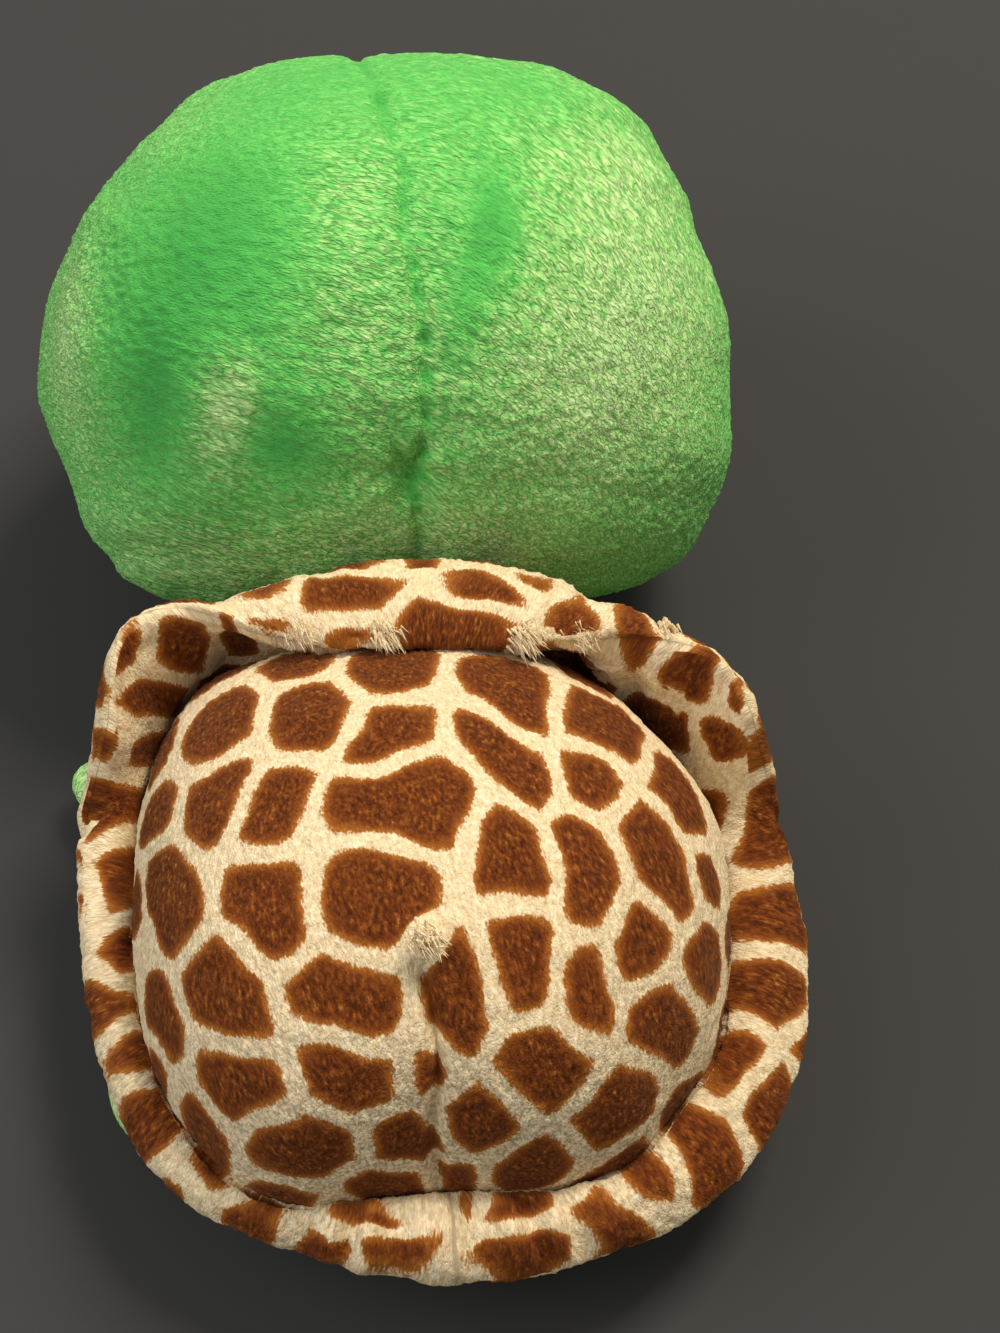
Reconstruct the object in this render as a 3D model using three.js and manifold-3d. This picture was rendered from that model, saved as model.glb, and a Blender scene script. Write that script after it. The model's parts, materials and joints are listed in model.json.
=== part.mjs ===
// A plush turtle: a sewn toy of short velvety pile, lying flat on its belly.
// Lengths are in millimetres, +Y is the way the head points and +Z is up.
import * as THREE from "three";
import { mergeVertices } from "three/addons/utils/BufferGeometryUtils.js";
import Module from "manifold-3d";

const wasm = await Module();
wasm.setup();

// Cloth, seams and running gaps
const pileCloth = 1.5;
const thinCloth = 1.0;
const pouchCloth = 0.6;
const seamGap = 0.3;
const fillGap = 0.6;
const paddingGap = 0.85;
const neckClearance = 0.4;
const limbClearance = 0.35;
const cutOverrun = 2.0;
const weld = 0.0001;

// Shell, the dome of printed plush
const shellRadius = 36.5;
const shellHeight = 31.7;
const seamHeight = 18.15;
const domeFullnessShare = 0.91;

// Stuffing bulges the shell out of round. Each pair is degrees from the front and the bulge there.
const shellBulges = [
  [-180, -1.0],
  [-171, -0.7],
  [-163, 0.9],
  [-155, 3.2],
  [-145, 3.8],
  [-133, 3.0],
  [-120, 1.4],
  [-105, -0.3],
  [-90, -1.0],
  [-75, -0.2],
  [-62, 1.9],
  [-50, 3.8],
  [-41, 4.7],
  [-29, 2.4],
  [-15, 0.0],
  [15, 0.0],
  [30, 0.2],
  [45, 0.4],
  [58, 0.6],
  [70, 1.2],
  [82, 1.7],
  [95, 1.3],
  [108, 1.5],
  [122, 2.9],
  [135, 2.9],
  [148, 3.6],
  [158, 2.3],
  [168, 0.3],
  [180, -1.0],
];
// The bulge fades out below the seam, above the limbs.
const bulgeFadeHeight = 10.0;

// Brim, the padded rim sewn all round the shell. It lies out at the back and sides, and at the
// front it curls up against the head.
const brimReach = 46.3;
const brimHalfThick = 3.0;
const brimEdgeHalfThick = 1.15;
const brimFullnessShare = 0.7;
const brimThickShare = 0.38;
const collarHalfThick = 2.7;
const collarReach = 25.0;
const flatReach = 44.0;
// Each row is degrees from the front, the edge's reach and height, and the bend's reach and height.
const brimStations = [
  [-180, 44.6, 14.6, 42.0, 20.0],
  [-157, 43.2, 14.6, 41.9, 18.9],
  [-143, 44.2, 14.6, 42.7, 18.9],
  [-130, 44.0, 14.6, 42.4, 19.2],
  [-115, 42.7, 14.6, 41.0, 20.0],
  [-100, 41.2, 14.8, 40.6, 19.4],
  [-88, 41.2, 15.0, 40.6, 19.6],
  [-79, 42.1, 16.2, 41.4, 20.2],
  [-72, 43.9, 20.0, 42.9, 20.6],
  [-66, 43.4, 26.0, 43.9, 22.0],
  [-60, 42.6, 34.5, 44.8, 24.0],
  [-54, 44.6, 40.0, 46.0, 26.5],
  [-46, 44.6, 43.0, 46.4, 32.0],
  [-40, 41.8, 43.6, 46.0, 38.0],
  [-32, 34.5, 43.4, 44.5, 44.0],
  [-22, 28.6, 43.4, 42.8, 47.8],
  [-10, 25.8, 43.6, 42.6, 49.3],
  [4, 24.8, 43.8, 42.6, 49.8],
  [18, 25.2, 43.6, 42.4, 49.3],
  [28, 27.2, 43.4, 42.6, 48.2],
  [38, 31.6, 43.2, 43.5, 46.0],
  [46, 36.6, 43.2, 44.5, 41.0],
  [54, 41.2, 42.6, 46.0, 33.0],
  [62, 43.6, 41.0, 46.5, 27.0],
  [69, 44.4, 36.5, 46.5, 23.0],
  [75, 45.6, 27.0, 45.5, 21.5],
  [81, 47.2, 19.0, 44.5, 20.5],
  [89, 47.7, 16.0, 43.5, 20.0],
  [103, 48.3, 15.2, 43.5, 20.0],
  [118, 49.2, 14.8, 44.4, 20.0],
  [134, 49.4, 14.6, 44.6, 20.0],
  [145, 48.6, 14.6, 44.4, 20.0],
  [156, 46.9, 14.6, 43.4, 20.0],
  [168, 45.6, 14.6, 42.5, 20.0],
  [180, 44.6, 14.6, 42.0, 20.0],
];

// Belly, a shallow bowl with a flat base
const bellyFlatRadius = 22.0;
const bellyBulgeRadius = 37.5;
const bellyBulgeHeight = 3.0;

// Head
const headForward = 77.4;
const headHeight = 38.6;
const headHalfWidth = 45.5;
const headHalfDepth = 36.0;
const headHalfHeight = 39.1;
const headTaperShare = 0.28;
const headFullnessShare = 0.9;
const headAside = 1.7;
const muzzleOut = 3.5;
const muzzleDrop = 7.0;
const muzzleHalfWidth = 17.0;
const muzzleHalfHeight = 12.0;
const seamGroove = 0.8;
// The head is stuffed out of true along an axis that leans back from upright. Each row is the place
// along that axis, the width there as a share of the plain form's, and how far it is pushed aside.
const leanAxisShares = [0.115, 0.8206, 0.5599];
const headStations = [
  [-40, 1.5, 4.5],
  [-34, 1.38, 4.3],
  [-30.6, 1.19, 3.9],
  [-27.3, 1.105, 3.4],
  [-24, 1.037, 2.7],
  [-20.7, 1.0, 1.9],
  [-17.4, 0.99, 1.4],
  [-14, 0.988, 0.8],
  [-8, 0.987, -0.4],
  [-2, 0.99, -0.6],
  [4, 1.003, -0.5],
  [10.6, 1.014, -0.5],
  [16.9, 1.028, -0.4],
  [20, 1.054, -0.1],
  [23.3, 1.084, 0.0],
  [26.2, 1.123, 0.2],
  [29.4, 1.21, 0.1],
  [31.9, 1.29, -0.4],
  [33.8, 1.36, -1.0],
  [35.5, 1.5, -1.6],
  [40, 1.7, -2.0],
];

// Neck, a ball of cloth and fill between shell and head
const neckForward = 38.0;
const neckHeight = 24.0;
const neckRadius = 12.0;
const neckHalfBand = 8.0;

// Eyes of moulded plastic, each locked by a washer behind the cloth
const eyeRadius = 6.5;
const eyeDome = 4.0;
const eyeStemRadius = 1.6;
const eyeStemLength = 8.0;
const eyeTurnShare = 0.356;
const eyeRiseShare = 0.035;
const washerRadius = 6.0;
const washerThick = 1.2;
const stemClearance = 0.3;

// Embroidered smile and nostrils
const threadRadius = 0.6;
const smileHalfWidth = 10.0;
const smileHeight = 3.0;
const smileDrop = 15.0;
const nostrilApart = 2.6;
const nostrilDrop = 4.5;
const nostrilLength = 1.6;
const nostrilSink = 0.75;

// Pouch of plastic pellets that weights the belly
const pouchRadius = 20.0;
const pouchHeight = 12.0;
const pouchSideShare = 0.7;

// Limbs, each a flat padded paddle hinged on its seam
const limbRoot = 2.0;
const limbTipShare = 0.8;
const limbRoundShare = 0.86;
const frontFlipper = {
  reach: 17.3,
  halfWidth: 7.5,
  halfThick: 3.2,
  sweep: -3,
  height: 8,
  droop: 3,
  place: 50,
};
const rearFlipper = {
  reach: 6.8,
  halfWidth: 7,
  halfThick: 2.5,
  sweep: -1,
  height: 6,
  droop: 6,
  place: 112,
};
const tail = {
  reach: 5.5,
  halfWidth: 4.5,
  halfThick: 2.3,
  sweep: 0,
  height: 9,
  droop: 4,
  place: 180,
};

// Facets
const roundSteps = 32;
const brimSteps = 64;
const domeSteps = 6;
const eyeSteps = 4;
const headSteps = 26;
const neckSteps = 24;
const smallSteps = 16;
const threadSides = 6;
const threadSteps = 8;

// The length and the width of the toy are centred on the origin.
const shellCentre = (brimReach - headForward - headHalfDepth - muzzleOut) / 2;
const rightReach = 48.55;
const leftReach = 44.45;
const shellAside = (leftReach - rightReach) / 2;

// Materials
function cloth(name, colour) {
  return new THREE.MeshStandardMaterial({ name, color: colour, roughness: 0.95, metalness: 0 });
}
const greenPlush = cloth("green plush", 0x43b356);
const printedPlush = cloth("printed plush", 0xd9b98a);
const fibreFill = cloth("polyester fibre fill", 0xf4f2ec);
const pouchFabric = cloth("pouch fabric", 0xe8e6df);
const blackThread = cloth("black embroidery thread", 0x17181a);
const pelletPlastic = new THREE.MeshStandardMaterial({ color: 0xe3e6e4, roughness: 0.5, metalness: 0 });
const eyePlastic = new THREE.MeshStandardMaterial({ color: 0x08080a, roughness: 0.08, metalness: 0 });
const washerPlastic = new THREE.MeshStandardMaterial({ color: 0xf0f0ee, roughness: 0.5, metalness: 0 });

// Helpers for closed solids
function radians(degrees) {
  return (degrees * Math.PI) / 180;
}

function signedVolume(points, faces) {
  let sum = 0;
  const [a, b, c] = [new THREE.Vector3(), new THREE.Vector3(), new THREE.Vector3()];
  for (let i = 0; i < faces.length; i += 3) {
    a.fromArray(points, faces[i] * 3);
    b.fromArray(points, faces[i + 1] * 3);
    c.fromArray(points, faces[i + 2] * 3);
    sum += a.dot(b.cross(c)) / 6;
  }
  return sum;
}

// A geometry becomes a solid that faces outwards, without the empty faces at its poles.
function solidOf(geometry) {
  const bare = geometry.clone();
  bare.deleteAttribute("normal");
  bare.deleteAttribute("uv");
  const merged = mergeVertices(bare, weld);
  const points = merged.attributes.position.array;
  const faces = [];
  for (let i = 0; i < merged.index.count; i += 3) {
    const [a, b, c] = [0, 1, 2].map((step) => merged.index.getX(i + step));
    if (a !== b && b !== c && c !== a) {
      faces.push(a, b, c);
    }
  }
  if (signedVolume(points, faces) < 0) {
    faces.reverse();
  }
  const mesh = new wasm.Mesh({
    numProp: 3,
    vertProperties: Float32Array.from(points),
    triVerts: Uint32Array.from(faces),
  });
  return new wasm.Manifold(mesh);
}

function geometryOf(solid) {
  const mesh = solid.getMesh();
  const geometry = new THREE.BufferGeometry();
  geometry.setAttribute("position", new THREE.BufferAttribute(mesh.vertProperties, 3));
  geometry.setIndex(new THREE.BufferAttribute(mesh.triVerts, 1));
  geometry.computeVertexNormals();
  return geometry;
}

function piece(name, solid, material) {
  const mesh = new THREE.Mesh(geometryOf(solid), material);
  mesh.name = name;
  return mesh;
}

// Rings of points are joined in turn. Open ends are closed by a fan from the middle of the last ring.
function loft(rings, joined = false) {
  const count = rings[0].length;
  const points = rings.flat();
  const faces = [];
  const spans = joined ? rings.length : rings.length - 1;
  for (let i = 0; i < spans; i += 1) {
    const here = i * count;
    const next = ((i + 1) % rings.length) * count;
    for (let j = 0; j < count; j += 1) {
      const k = (j + 1) % count;
      faces.push(here + j, here + k, next + k, here + j, next + k, next + j);
    }
  }
  if (!joined) {
    for (const [ring, start, flip] of [
      [rings[0], 0, true],
      [rings.at(-1), (rings.length - 1) * count, false],
    ]) {
      const middle = new THREE.Vector3();
      ring.forEach((point) => middle.addScaledVector(point, 1 / count));
      points.push(middle);
      for (let j = 0; j < count; j += 1) {
        const edge = [start + j, start + ((j + 1) % count)];
        if (flip) {
          edge.reverse();
        }
        faces.push(edge[0], edge[1], points.length - 1);
      }
    }
  }
  const geometry = new THREE.BufferGeometry().setFromPoints(points);
  geometry.setIndex(faces);
  return solidOf(geometry);
}

// A profile of [radius, height] pairs is turned about a vertical axis.
function turned(profile, steps = roundSteps) {
  const geometry = new THREE.LatheGeometry(
    profile.map(([radius, height]) => new THREE.Vector2(radius, height)),
    steps,
  );
  geometry.rotateX(Math.PI / 2);
  return solidOf(geometry);
}

function ball(radius, centre, steps) {
  const geometry = new THREE.SphereGeometry(radius, steps, steps / 2);
  geometry.translate(centre.x, centre.y, centre.z);
  return solidOf(geometry);
}

function block(low, high) {
  const size = high.clone().sub(low);
  const geometry = new THREE.BoxGeometry(size.x, size.y, size.z);
  const middle = low.clone().add(high).multiplyScalar(0.5);
  geometry.translate(middle.x, middle.y, middle.z);
  return solidOf(geometry);
}

function moved(solid, matrix) {
  return solidOf(geometryOf(solid).applyMatrix4(matrix));
}

function mix(a, b, share) {
  return a + (b - a) * share;
}

// The values between two rows of a table whose first column is the place
function fromTable(rows, place) {
  const found = rows.findIndex((row, i) => i > 0 && place <= row[0]);
  const after = found < 0 ? rows.length - 1 : found;
  const [low, high] = [rows[after - 1], rows[after]];
  const share = Math.min(Math.max((place - low[0]) / (high[0] - low[0]), 0), 1);
  return low.slice(1).map((value, i) => mix(value, high[i + 1], share));
}

function degreesOf(angle) {
  return (angle * 180) / Math.PI;
}

// How far the shell bulges at an angle from the front
function bulgeAt(angle) {
  return fromTable(shellBulges, degreesOf(angle))[0];
}

// A round solid of the shell, pushed out by the bulges
function bulged(solid) {
  const geometry = geometryOf(solid);
  const place = geometry.attributes.position;
  const fadeSpan = seamHeight - seamGap - bulgeFadeHeight;
  for (let i = 0; i < place.count; i += 1) {
    const [x, y, z] = [place.getX(i), place.getY(i), place.getZ(i)];
    const radius = Math.hypot(x, y);
    if (radius > weld && z > bulgeFadeHeight) {
      const fade = Math.min((z - bulgeFadeHeight) / fadeSpan, 1) ** 2;
      const grown = radius + bulgeAt(Math.atan2(x, y)) * fade * (radius / shellRadius) ** 2;
      place.setXY(i, (x * grown) / radius, (y * grown) / radius);
    }
  }
  return solidOf(geometry);
}

// Shell dome: its profile, from the top down to the seam, drawn in by a wall
function domeProfile(inset) {
  const profile = [];
  for (let i = 0; i <= domeSteps; i += 1) {
    const angle = ((Math.PI / 2) * i) / domeSteps;
    const across = Math.sin(angle) ** domeFullnessShare;
    const up = Math.cos(angle) ** domeFullnessShare;
    profile.push([
      (shellRadius - inset) * (i === 0 ? 0 : across),
      seamHeight + seamGap / 2 + (shellHeight - inset) * (i === domeSteps ? 0 : up),
    ]);
  }
  return profile;
}

// Belly bowl: its profile, from the seam down to the flat base, drawn in by a wall
function bellyProfile(inset) {
  const top = seamHeight - seamGap / 2;
  const profile = [];
  for (let i = 0; i <= domeSteps - 2; i += 1) {
    const s = i / (domeSteps - 2);
    const radius =
      (1 - s) ** 2 * shellRadius + 2 * s * (1 - s) * bellyBulgeRadius + s ** 2 * bellyFlatRadius;
    const height = (1 - s) ** 2 * top + 2 * s * (1 - s) * bellyBulgeHeight;
    profile.push([radius - inset, Math.max(height, inset)]);
  }
  profile.at(-1)[1] = inset;
  profile.push([0, inset]);
  return profile;
}

// Brim: how far its edge is curled in over the shell at an angle from the front
function curl(angle) {
  const [reach] = fromTable(brimStations, degreesOf(angle));
  return Math.min(Math.max((flatReach - reach) / (flatReach - collarReach), 0), 1);
}

// Where the brim leaves the shell, further out the more steeply it rises
function brimRoot(angle) {
  const [, , bendReach, bendHeight] = fromTable(brimStations, degreesOf(angle));
  const steep = (bendHeight - seamHeight) / Math.hypot(bendHeight - seamHeight, bendReach - shellRadius);
  return shellRadius + seamGap + bulgeAt(angle) + brimEdgeHalfThick * steep;
}

// A point of the brim: angle from the front, share of the way out, and height off its middle surface
function brimPoint(angle, share, off) {
  const [reach, height, bendReach, bendHeight] = fromTable(brimStations, degreesOf(angle));
  const start = [brimRoot(angle), seamHeight];
  const bend = [bendReach, bendHeight];
  const end = [reach, height];
  const at = [0, 1].map(
    (i) => (1 - share) ** 2 * start[i] + 2 * share * (1 - share) * bend[i] + share ** 2 * end[i],
  );
  const along = [0, 1].map(
    (i) => 2 * (1 - share) * (bend[i] - start[i]) + 2 * share * (end[i] - bend[i]),
  );
  const length = Math.hypot(along[0], along[1]);
  const radius = at[0] - (along[1] / length) * off;
  const lifted = at[1] + (along[0] / length) * off;
  return new THREE.Vector3(radius * Math.sin(angle), radius * Math.cos(angle), lifted);
}

function brimHalf(angle, share) {
  const [reach, height] = fromTable(brimStations, degreesOf(angle));
  const widest = brimThickShare * Math.hypot(reach - brimRoot(angle), height - seamHeight);
  const full = Math.min(mix(brimHalfThick, collarHalfThick, curl(angle)), widest);
  return mix(brimEdgeHalfThick, full, Math.sin(Math.PI * share) ** brimFullnessShare);
}

// A ring of the brim's section swept round: edges gives its outline at one angle
function brimRing(outline) {
  const rings = [];
  for (let i = 0; i < brimSteps; i += 1) {
    const angle = (2 * Math.PI * i) / brimSteps - Math.PI;
    rings.push(outline(angle));
  }
  return loft(rings, true);
}

const brimShares = [0, 0.22, 0.5, 0.78, 1];

// One cloth face of the brim: side is 1 for the upper face and -1 for the lower. Its inside is
// drawn in the same order as the padding's, so that the two have like facets.
function brimFace(side) {
  return brimRing((angle) => {
    const outer = brimShares.map((s) => brimPoint(angle, s, side * brimHalf(angle, s)));
    const inner = brimShares.map((s) => {
      const wall = Math.max(brimHalf(angle, s) - thinCloth, seamGap / 2);
      return brimPoint(angle, s, side * wall);
    });
    return side > 0 ? outer.concat(inner.reverse()) : inner.concat(outer.reverse());
  });
}

function brimPadding() {
  return brimRing((angle) => {
    const inner = brimShares.slice(1, -1);
    const half = (s) => brimHalf(angle, s) - thinCloth - paddingGap;
    const top = inner.map((s) => brimPoint(angle, s, half(s)));
    const bottom = inner.map((s) => brimPoint(angle, s, -half(s)));
    return bottom.concat(top.reverse());
  });
}

// Neck centre, in the frame of the shell's centre
const neckCentre = new THREE.Vector3(0, neckForward, neckHeight);
const neckRoom = ball(neckRadius + neckClearance, neckCentre, neckSteps);

function pouchProfile(inset) {
  const base = pileCloth + seamGap;
  const high = pouchHeight - inset;
  return [
    [0, base + inset],
    [pouchRadius * pouchSideShare - inset, base + inset],
    [pouchRadius - inset, base + pouchHeight / 2],
    [pouchRadius * pouchSideShare - inset, base + high],
    [0, base + high],
  ];
}

function halfSpace(side, axis, reach) {
  const low = new THREE.Vector3(-reach, -reach, -reach);
  const high = new THREE.Vector3(reach, reach, reach);
  if (side > 0) {
    low[axis] = seamGap / 2;
  } else {
    high[axis] = -seamGap / 2;
  }
  return [low, high];
}

function torso() {
  const group = new THREE.Group();
  const dome = turned([...domeProfile(0), ...domeProfile(pileCloth).reverse()]);
  const belly = turned([...bellyProfile(0).reverse(), ...bellyProfile(pileCloth)]);
  group.add(piece("shell_top", bulged(dome).subtract(neckRoom), printedPlush));
  group.add(piece("belly_panel", bulged(belly).subtract(neckRoom), greenPlush));
  const shell = bulged(turned([...domeProfile(-seamGap), ...bellyProfile(-seamGap)]));
  const brimCut = shell.add(neckRoom);
  group.add(piece("brim_upper", brimFace(1).subtract(brimCut), printedPlush));
  group.add(piece("brim_lower", brimFace(-1).subtract(brimCut), printedPlush));
  group.add(piece("brim_batting", brimPadding().subtract(brimCut), fibreFill));

  const wall = pileCloth + fillGap;
  const stuffing = bulged(turned([...domeProfile(wall), ...bellyProfile(wall)]));
  const pouchRoom = turned(pouchProfile(-fillGap), smallSteps);
  group.add(piece("body_stuffing", stuffing.subtract(neckRoom).subtract(pouchRoom), fibreFill));

  const bag = turned(pouchProfile(0), smallSteps).subtract(turned(pouchProfile(pouchCloth), smallSteps));
  const middle = pileCloth + seamGap + pouchHeight / 2;
  for (const [name, side] of [
    ["pellet_pouch_upper", 1],
    ["pellet_pouch_lower", -1],
  ]) {
    const [low, high] = halfSpace(side, "z", pouchRadius + pouchHeight);
    low.z += middle;
    high.z += middle;
    group.add(piece(name, bag.intersect(block(low, high)), pouchFabric));
  }
  const heap = turned(pouchProfile(pouchCloth + seamGap), smallSteps);
  group.add(piece("pellets", heap, pelletPlastic));
  return group;
}

function neck() {
  const group = new THREE.Group();
  const low = new THREE.Vector3(-neckRadius, -neckHalfBand, -neckRadius);
  const high = new THREE.Vector3(neckRadius, neckHalfBand, neckRadius);
  const band = block(low.add(neckCentre), high.add(neckCentre));
  const hollow = ball(neckRadius - thinCloth, neckCentre, smallSteps);
  const cover = ball(neckRadius, neckCentre, neckSteps).subtract(hollow).intersect(band);
  const filling = ball(neckRadius - thinCloth - seamGap, neckCentre, smallSteps);
  group.add(piece("neck_cover", cover, greenPlush));
  group.add(piece("neck_stuffing", filling, fibreFill));
  return group;
}

// Head: turn is the angle from the right ear, swing the angle from straight ahead round the side axis
const headTurnShares = [0, 0.11, 0.22, 0.32, 0.41, 0.475, 0.5];
const groovePlaceShare = 0.475;

function headPoint(turn, swing, inset) {
  const ring = Math.sin(turn) ** headFullnessShare;
  const side = Math.cos(turn);
  const grooveTurn = (Math.PI * (0.5 - groovePlaceShare)) / 2;
  const cut = Math.abs(turn - Math.PI / 2) < grooveTurn ? seamGroove : 0;
  let x = (headHalfWidth - inset) * Math.sign(side) * Math.abs(side) ** headFullnessShare;
  let y = (headHalfDepth - inset - cut) * ring * Math.cos(swing);
  const z = (headHalfHeight - inset - cut) * ring * Math.sin(swing);
  const forward = (y / headHalfDepth + z / headHalfHeight) / 2;
  x *= 1 - headTaperShare * forward;
  if (y > 0) {
    const across = x / muzzleHalfWidth;
    const up = (z + muzzleDrop) / muzzleHalfHeight;
    y += muzzleOut * Math.exp(-(across ** 2) - up ** 2);
  }
  const [leanX, leanY, leanZ] = leanAxisShares;
  const [width, push] = fromTable(headStations, x * leanX + y * leanY + z * leanZ);
  return new THREE.Vector3(headAside + x * width + push, headForward + y, headHeight + z);
}

function headSolid(inset) {
  const mirrored = headTurnShares.slice(0, -1).map((share) => 1 - share);
  const shares = headTurnShares.concat(mirrored.reverse());
  const rings = shares.slice(1, -1).map((share) => {
    const ring = [];
    for (let i = 0; i < headSteps; i += 1) {
      ring.push(headPoint(share * Math.PI, (2 * Math.PI * i) / headSteps, inset));
    }
    return ring;
  });
  return loft(rings);
}

// The frame of a fitting on the face: its z axis points straight out of the cloth.
const slopeStep = 0.01;

function faceFrame(turn, swing, lift) {
  const here = headPoint(turn, swing, 0);
  const side = headPoint(turn + slopeStep, swing, 0).sub(here);
  const up = headPoint(turn, swing + slopeStep, 0).sub(here);
  const out = up.clone().cross(side).normalize();
  if (out.y < 0) {
    out.negate();
  }
  const turnTo = new THREE.Quaternion().setFromUnitVectors(new THREE.Vector3(0, 0, 1), out);
  const place = here.addScaledVector(out, lift);
  return new THREE.Matrix4().compose(place, turnTo, new THREE.Vector3(1, 1, 1));
}

function eyeSolid() {
  const profile = [[0, -eyeStemLength], [eyeStemRadius, -eyeStemLength], [eyeStemRadius, 0], [eyeRadius, 0]];
  for (let i = 1; i < eyeSteps; i += 1) {
    const angle = ((Math.PI / 2) * i) / eyeSteps;
    profile.push([eyeRadius * Math.cos(angle), eyeDome * Math.sin(angle)]);
  }
  profile.push([0, eyeDome]);
  return turned(profile, smallSteps);
}

function washerSolid(clearance) {
  const hole = eyeStemRadius + (clearance > 0 ? 0 : stemClearance);
  const bend = washerRadius ** 2 / headHalfDepth;
  const top = -pileCloth - 3 * seamGap - bend + clearance;
  const low = top - washerThick - 2 * clearance;
  const wide = washerRadius + clearance;
  if (clearance > 0) {
    return turned([[0, low], [wide, low], [wide, top], [0, top]], smallSteps);
  }
  return turned([[hole, low], [wide, low], [wide, top], [hole, top], [hole, low]], smallSteps);
}

function stemRoom() {
  const radius = eyeStemRadius + stemClearance;
  const low = -eyeStemLength - seamGap;
  return turned([[0, low], [radius, low], [radius, cutOverrun], [0, cutOverrun]], smallSteps);
}

// A point of the face from its distances across and up, measured from the middle of the head
function facePoint(across, up, lift) {
  const side = (Math.abs(across) / headHalfWidth) ** (1 / headFullnessShare);
  const turn = Math.acos(Math.sign(across) * side);
  const swing = Math.asin(up / headHalfHeight / Math.sin(turn) ** headFullnessShare);
  return headPoint(turn, swing, -lift);
}

function threadAlong(points) {
  const path = new THREE.CatmullRomCurve3(points);
  const section = new THREE.Shape();
  for (let i = 0; i < threadSides; i += 1) {
    const angle = (2 * Math.PI * i) / threadSides;
    const spot = [threadRadius * Math.cos(angle), threadRadius * Math.sin(angle)];
    if (i === 0) {
      section.moveTo(...spot);
    } else {
      section.lineTo(...spot);
    }
  }
  section.closePath();
  const settings = { extrudePath: path, steps: threadSteps, bevelEnabled: false };
  return solidOf(new THREE.ExtrudeGeometry(section, settings));
}

function smile() {
  const off = threadRadius + seamGap;
  const points = [];
  for (let i = 0; i <= threadSteps; i += 1) {
    const share = (2 * i) / threadSteps - 1;
    points.push(facePoint(share * smileHalfWidth, smileHeight * share ** 2 - smileDrop, off));
  }
  return threadAlong(points);
}

// The nostrils sink into the pile beside the seam's groove.
function nostril(side) {
  const off = threadRadius + seamGap - nostrilSink;
  const middle = facePoint(side * nostrilApart, -nostrilDrop, off);
  const top = facePoint(side * nostrilApart, -nostrilDrop + nostrilLength / 2, off);
  const geometry = new THREE.SphereGeometry(threadRadius, threadSides, threadSides - 2);
  geometry.rotateX(Math.PI / 2);
  geometry.scale(1, 1, (top.distanceTo(middle) + threadRadius) / threadRadius);
  geometry.translate(middle.x, middle.y, middle.z);
  return solidOf(geometry);
}

function head() {
  const group = new THREE.Group();
  const reach = headForward + headHalfDepth + headHalfWidth;
  const floorCut = block(
    new THREE.Vector3(-reach, -reach, -reach),
    new THREE.Vector3(reach, reach, 0),
  );
  const skin = headSolid(0).subtract(headSolid(pileCloth)).subtract(floorCut).subtract(neckRoom);
  let stuffing = headSolid(pileCloth + fillGap).subtract(neckRoom);
  for (const [word, side] of [["right", 1], ["left", -1]]) {
    const frame = faceFrame(Math.PI * (0.5 - side * (0.5 - eyeTurnShare)), Math.PI * eyeRiseShare, seamGap);
    const [low, high] = halfSpace(side, "x", reach);
    low.x += headAside;
    high.x += headAside;
    const half = skin.intersect(block(low, high)).subtract(moved(stemRoom(), frame));
    group.add(piece(`head_${word}`, half, greenPlush));
    group.add(piece(`eye_${word}`, moved(eyeSolid(), frame), eyePlastic));
    group.add(piece(`eye_washer_${word}`, moved(washerSolid(0), frame), washerPlastic));
    group.add(piece(`nostril_${word}`, nostril(side), blackThread));
    stuffing = stuffing.subtract(moved(stemRoom(), frame)).subtract(moved(washerSolid(seamGap), frame));
  }
  group.add(piece("head_stuffing", stuffing, fibreFill));
  group.add(piece("mouth_stitch", smile(), blackThread));
  return group;
}

// Limb: a paddle along +X from a round root on the Y axis, drawn in by a wall
const limbShares = [-1, -0.86, -0.5, 0, 0.5, 0.86, 1];
const chordShares = [0.12, 0.4, 0.75];

function limbSolid(limb, inset) {
  const rings = limbShares.map((share) => {
    const fullness = Math.sqrt(1 - limbRoundShare * share ** 2);
    const reach = limb.reach * fullness - inset;
    const thick = mix(limbRoot, limb.halfThick, fullness) - inset;
    const root = limbRoot - inset;
    const across = share * (limb.halfWidth - inset);
    const outline = [];
    for (const angle of [-135, 180, 135]) {
      outline.push([root * Math.cos(radians(angle)), root * Math.sin(radians(angle))]);
    }
    const upper = [[0, root], ...chordShares.map((s) => [reach * s, mix(root, thick, Math.sin(Math.PI * s))])];
    upper.at(-1)[1] = thick * limbTipShare;
    outline.push(...upper, [reach, 0]);
    outline.push(...upper.map(([x, z]) => [x, -z]).reverse());
    return outline.map(([x, z]) => new THREE.Vector3(x, across + limb.sweep * (x / limb.reach) ** 2, z));
  });
  return loft(rings);
}

function limbPieces(name, limb, side) {
  const group = new THREE.Group();
  const mirrored = { ...limb, sweep: limb.sweep * side };
  const skin = limbSolid(mirrored, 0).subtract(limbSolid(mirrored, thinCloth));
  for (const [word, up] of [["top", 1], ["bottom", -1]]) {
    const [low, high] = halfSpace(up, "z", limb.reach + limb.halfWidth);
    group.add(piece(`${name}_${word}`, skin.intersect(block(low, high)), greenPlush));
  }
  group.add(piece(`${name}_fill`, limbSolid(mirrored, thinCloth + seamGap), fibreFill));
  const at = radians(limb.place) * side;
  const radius = rootRadius(limb.height);
  group.position.set(radius * Math.sin(at), radius * Math.cos(at), limb.height);
  group.rotation.set(0, radians(limb.droop), Math.PI / 2 - at, "ZYX");
  return group;
}

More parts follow.
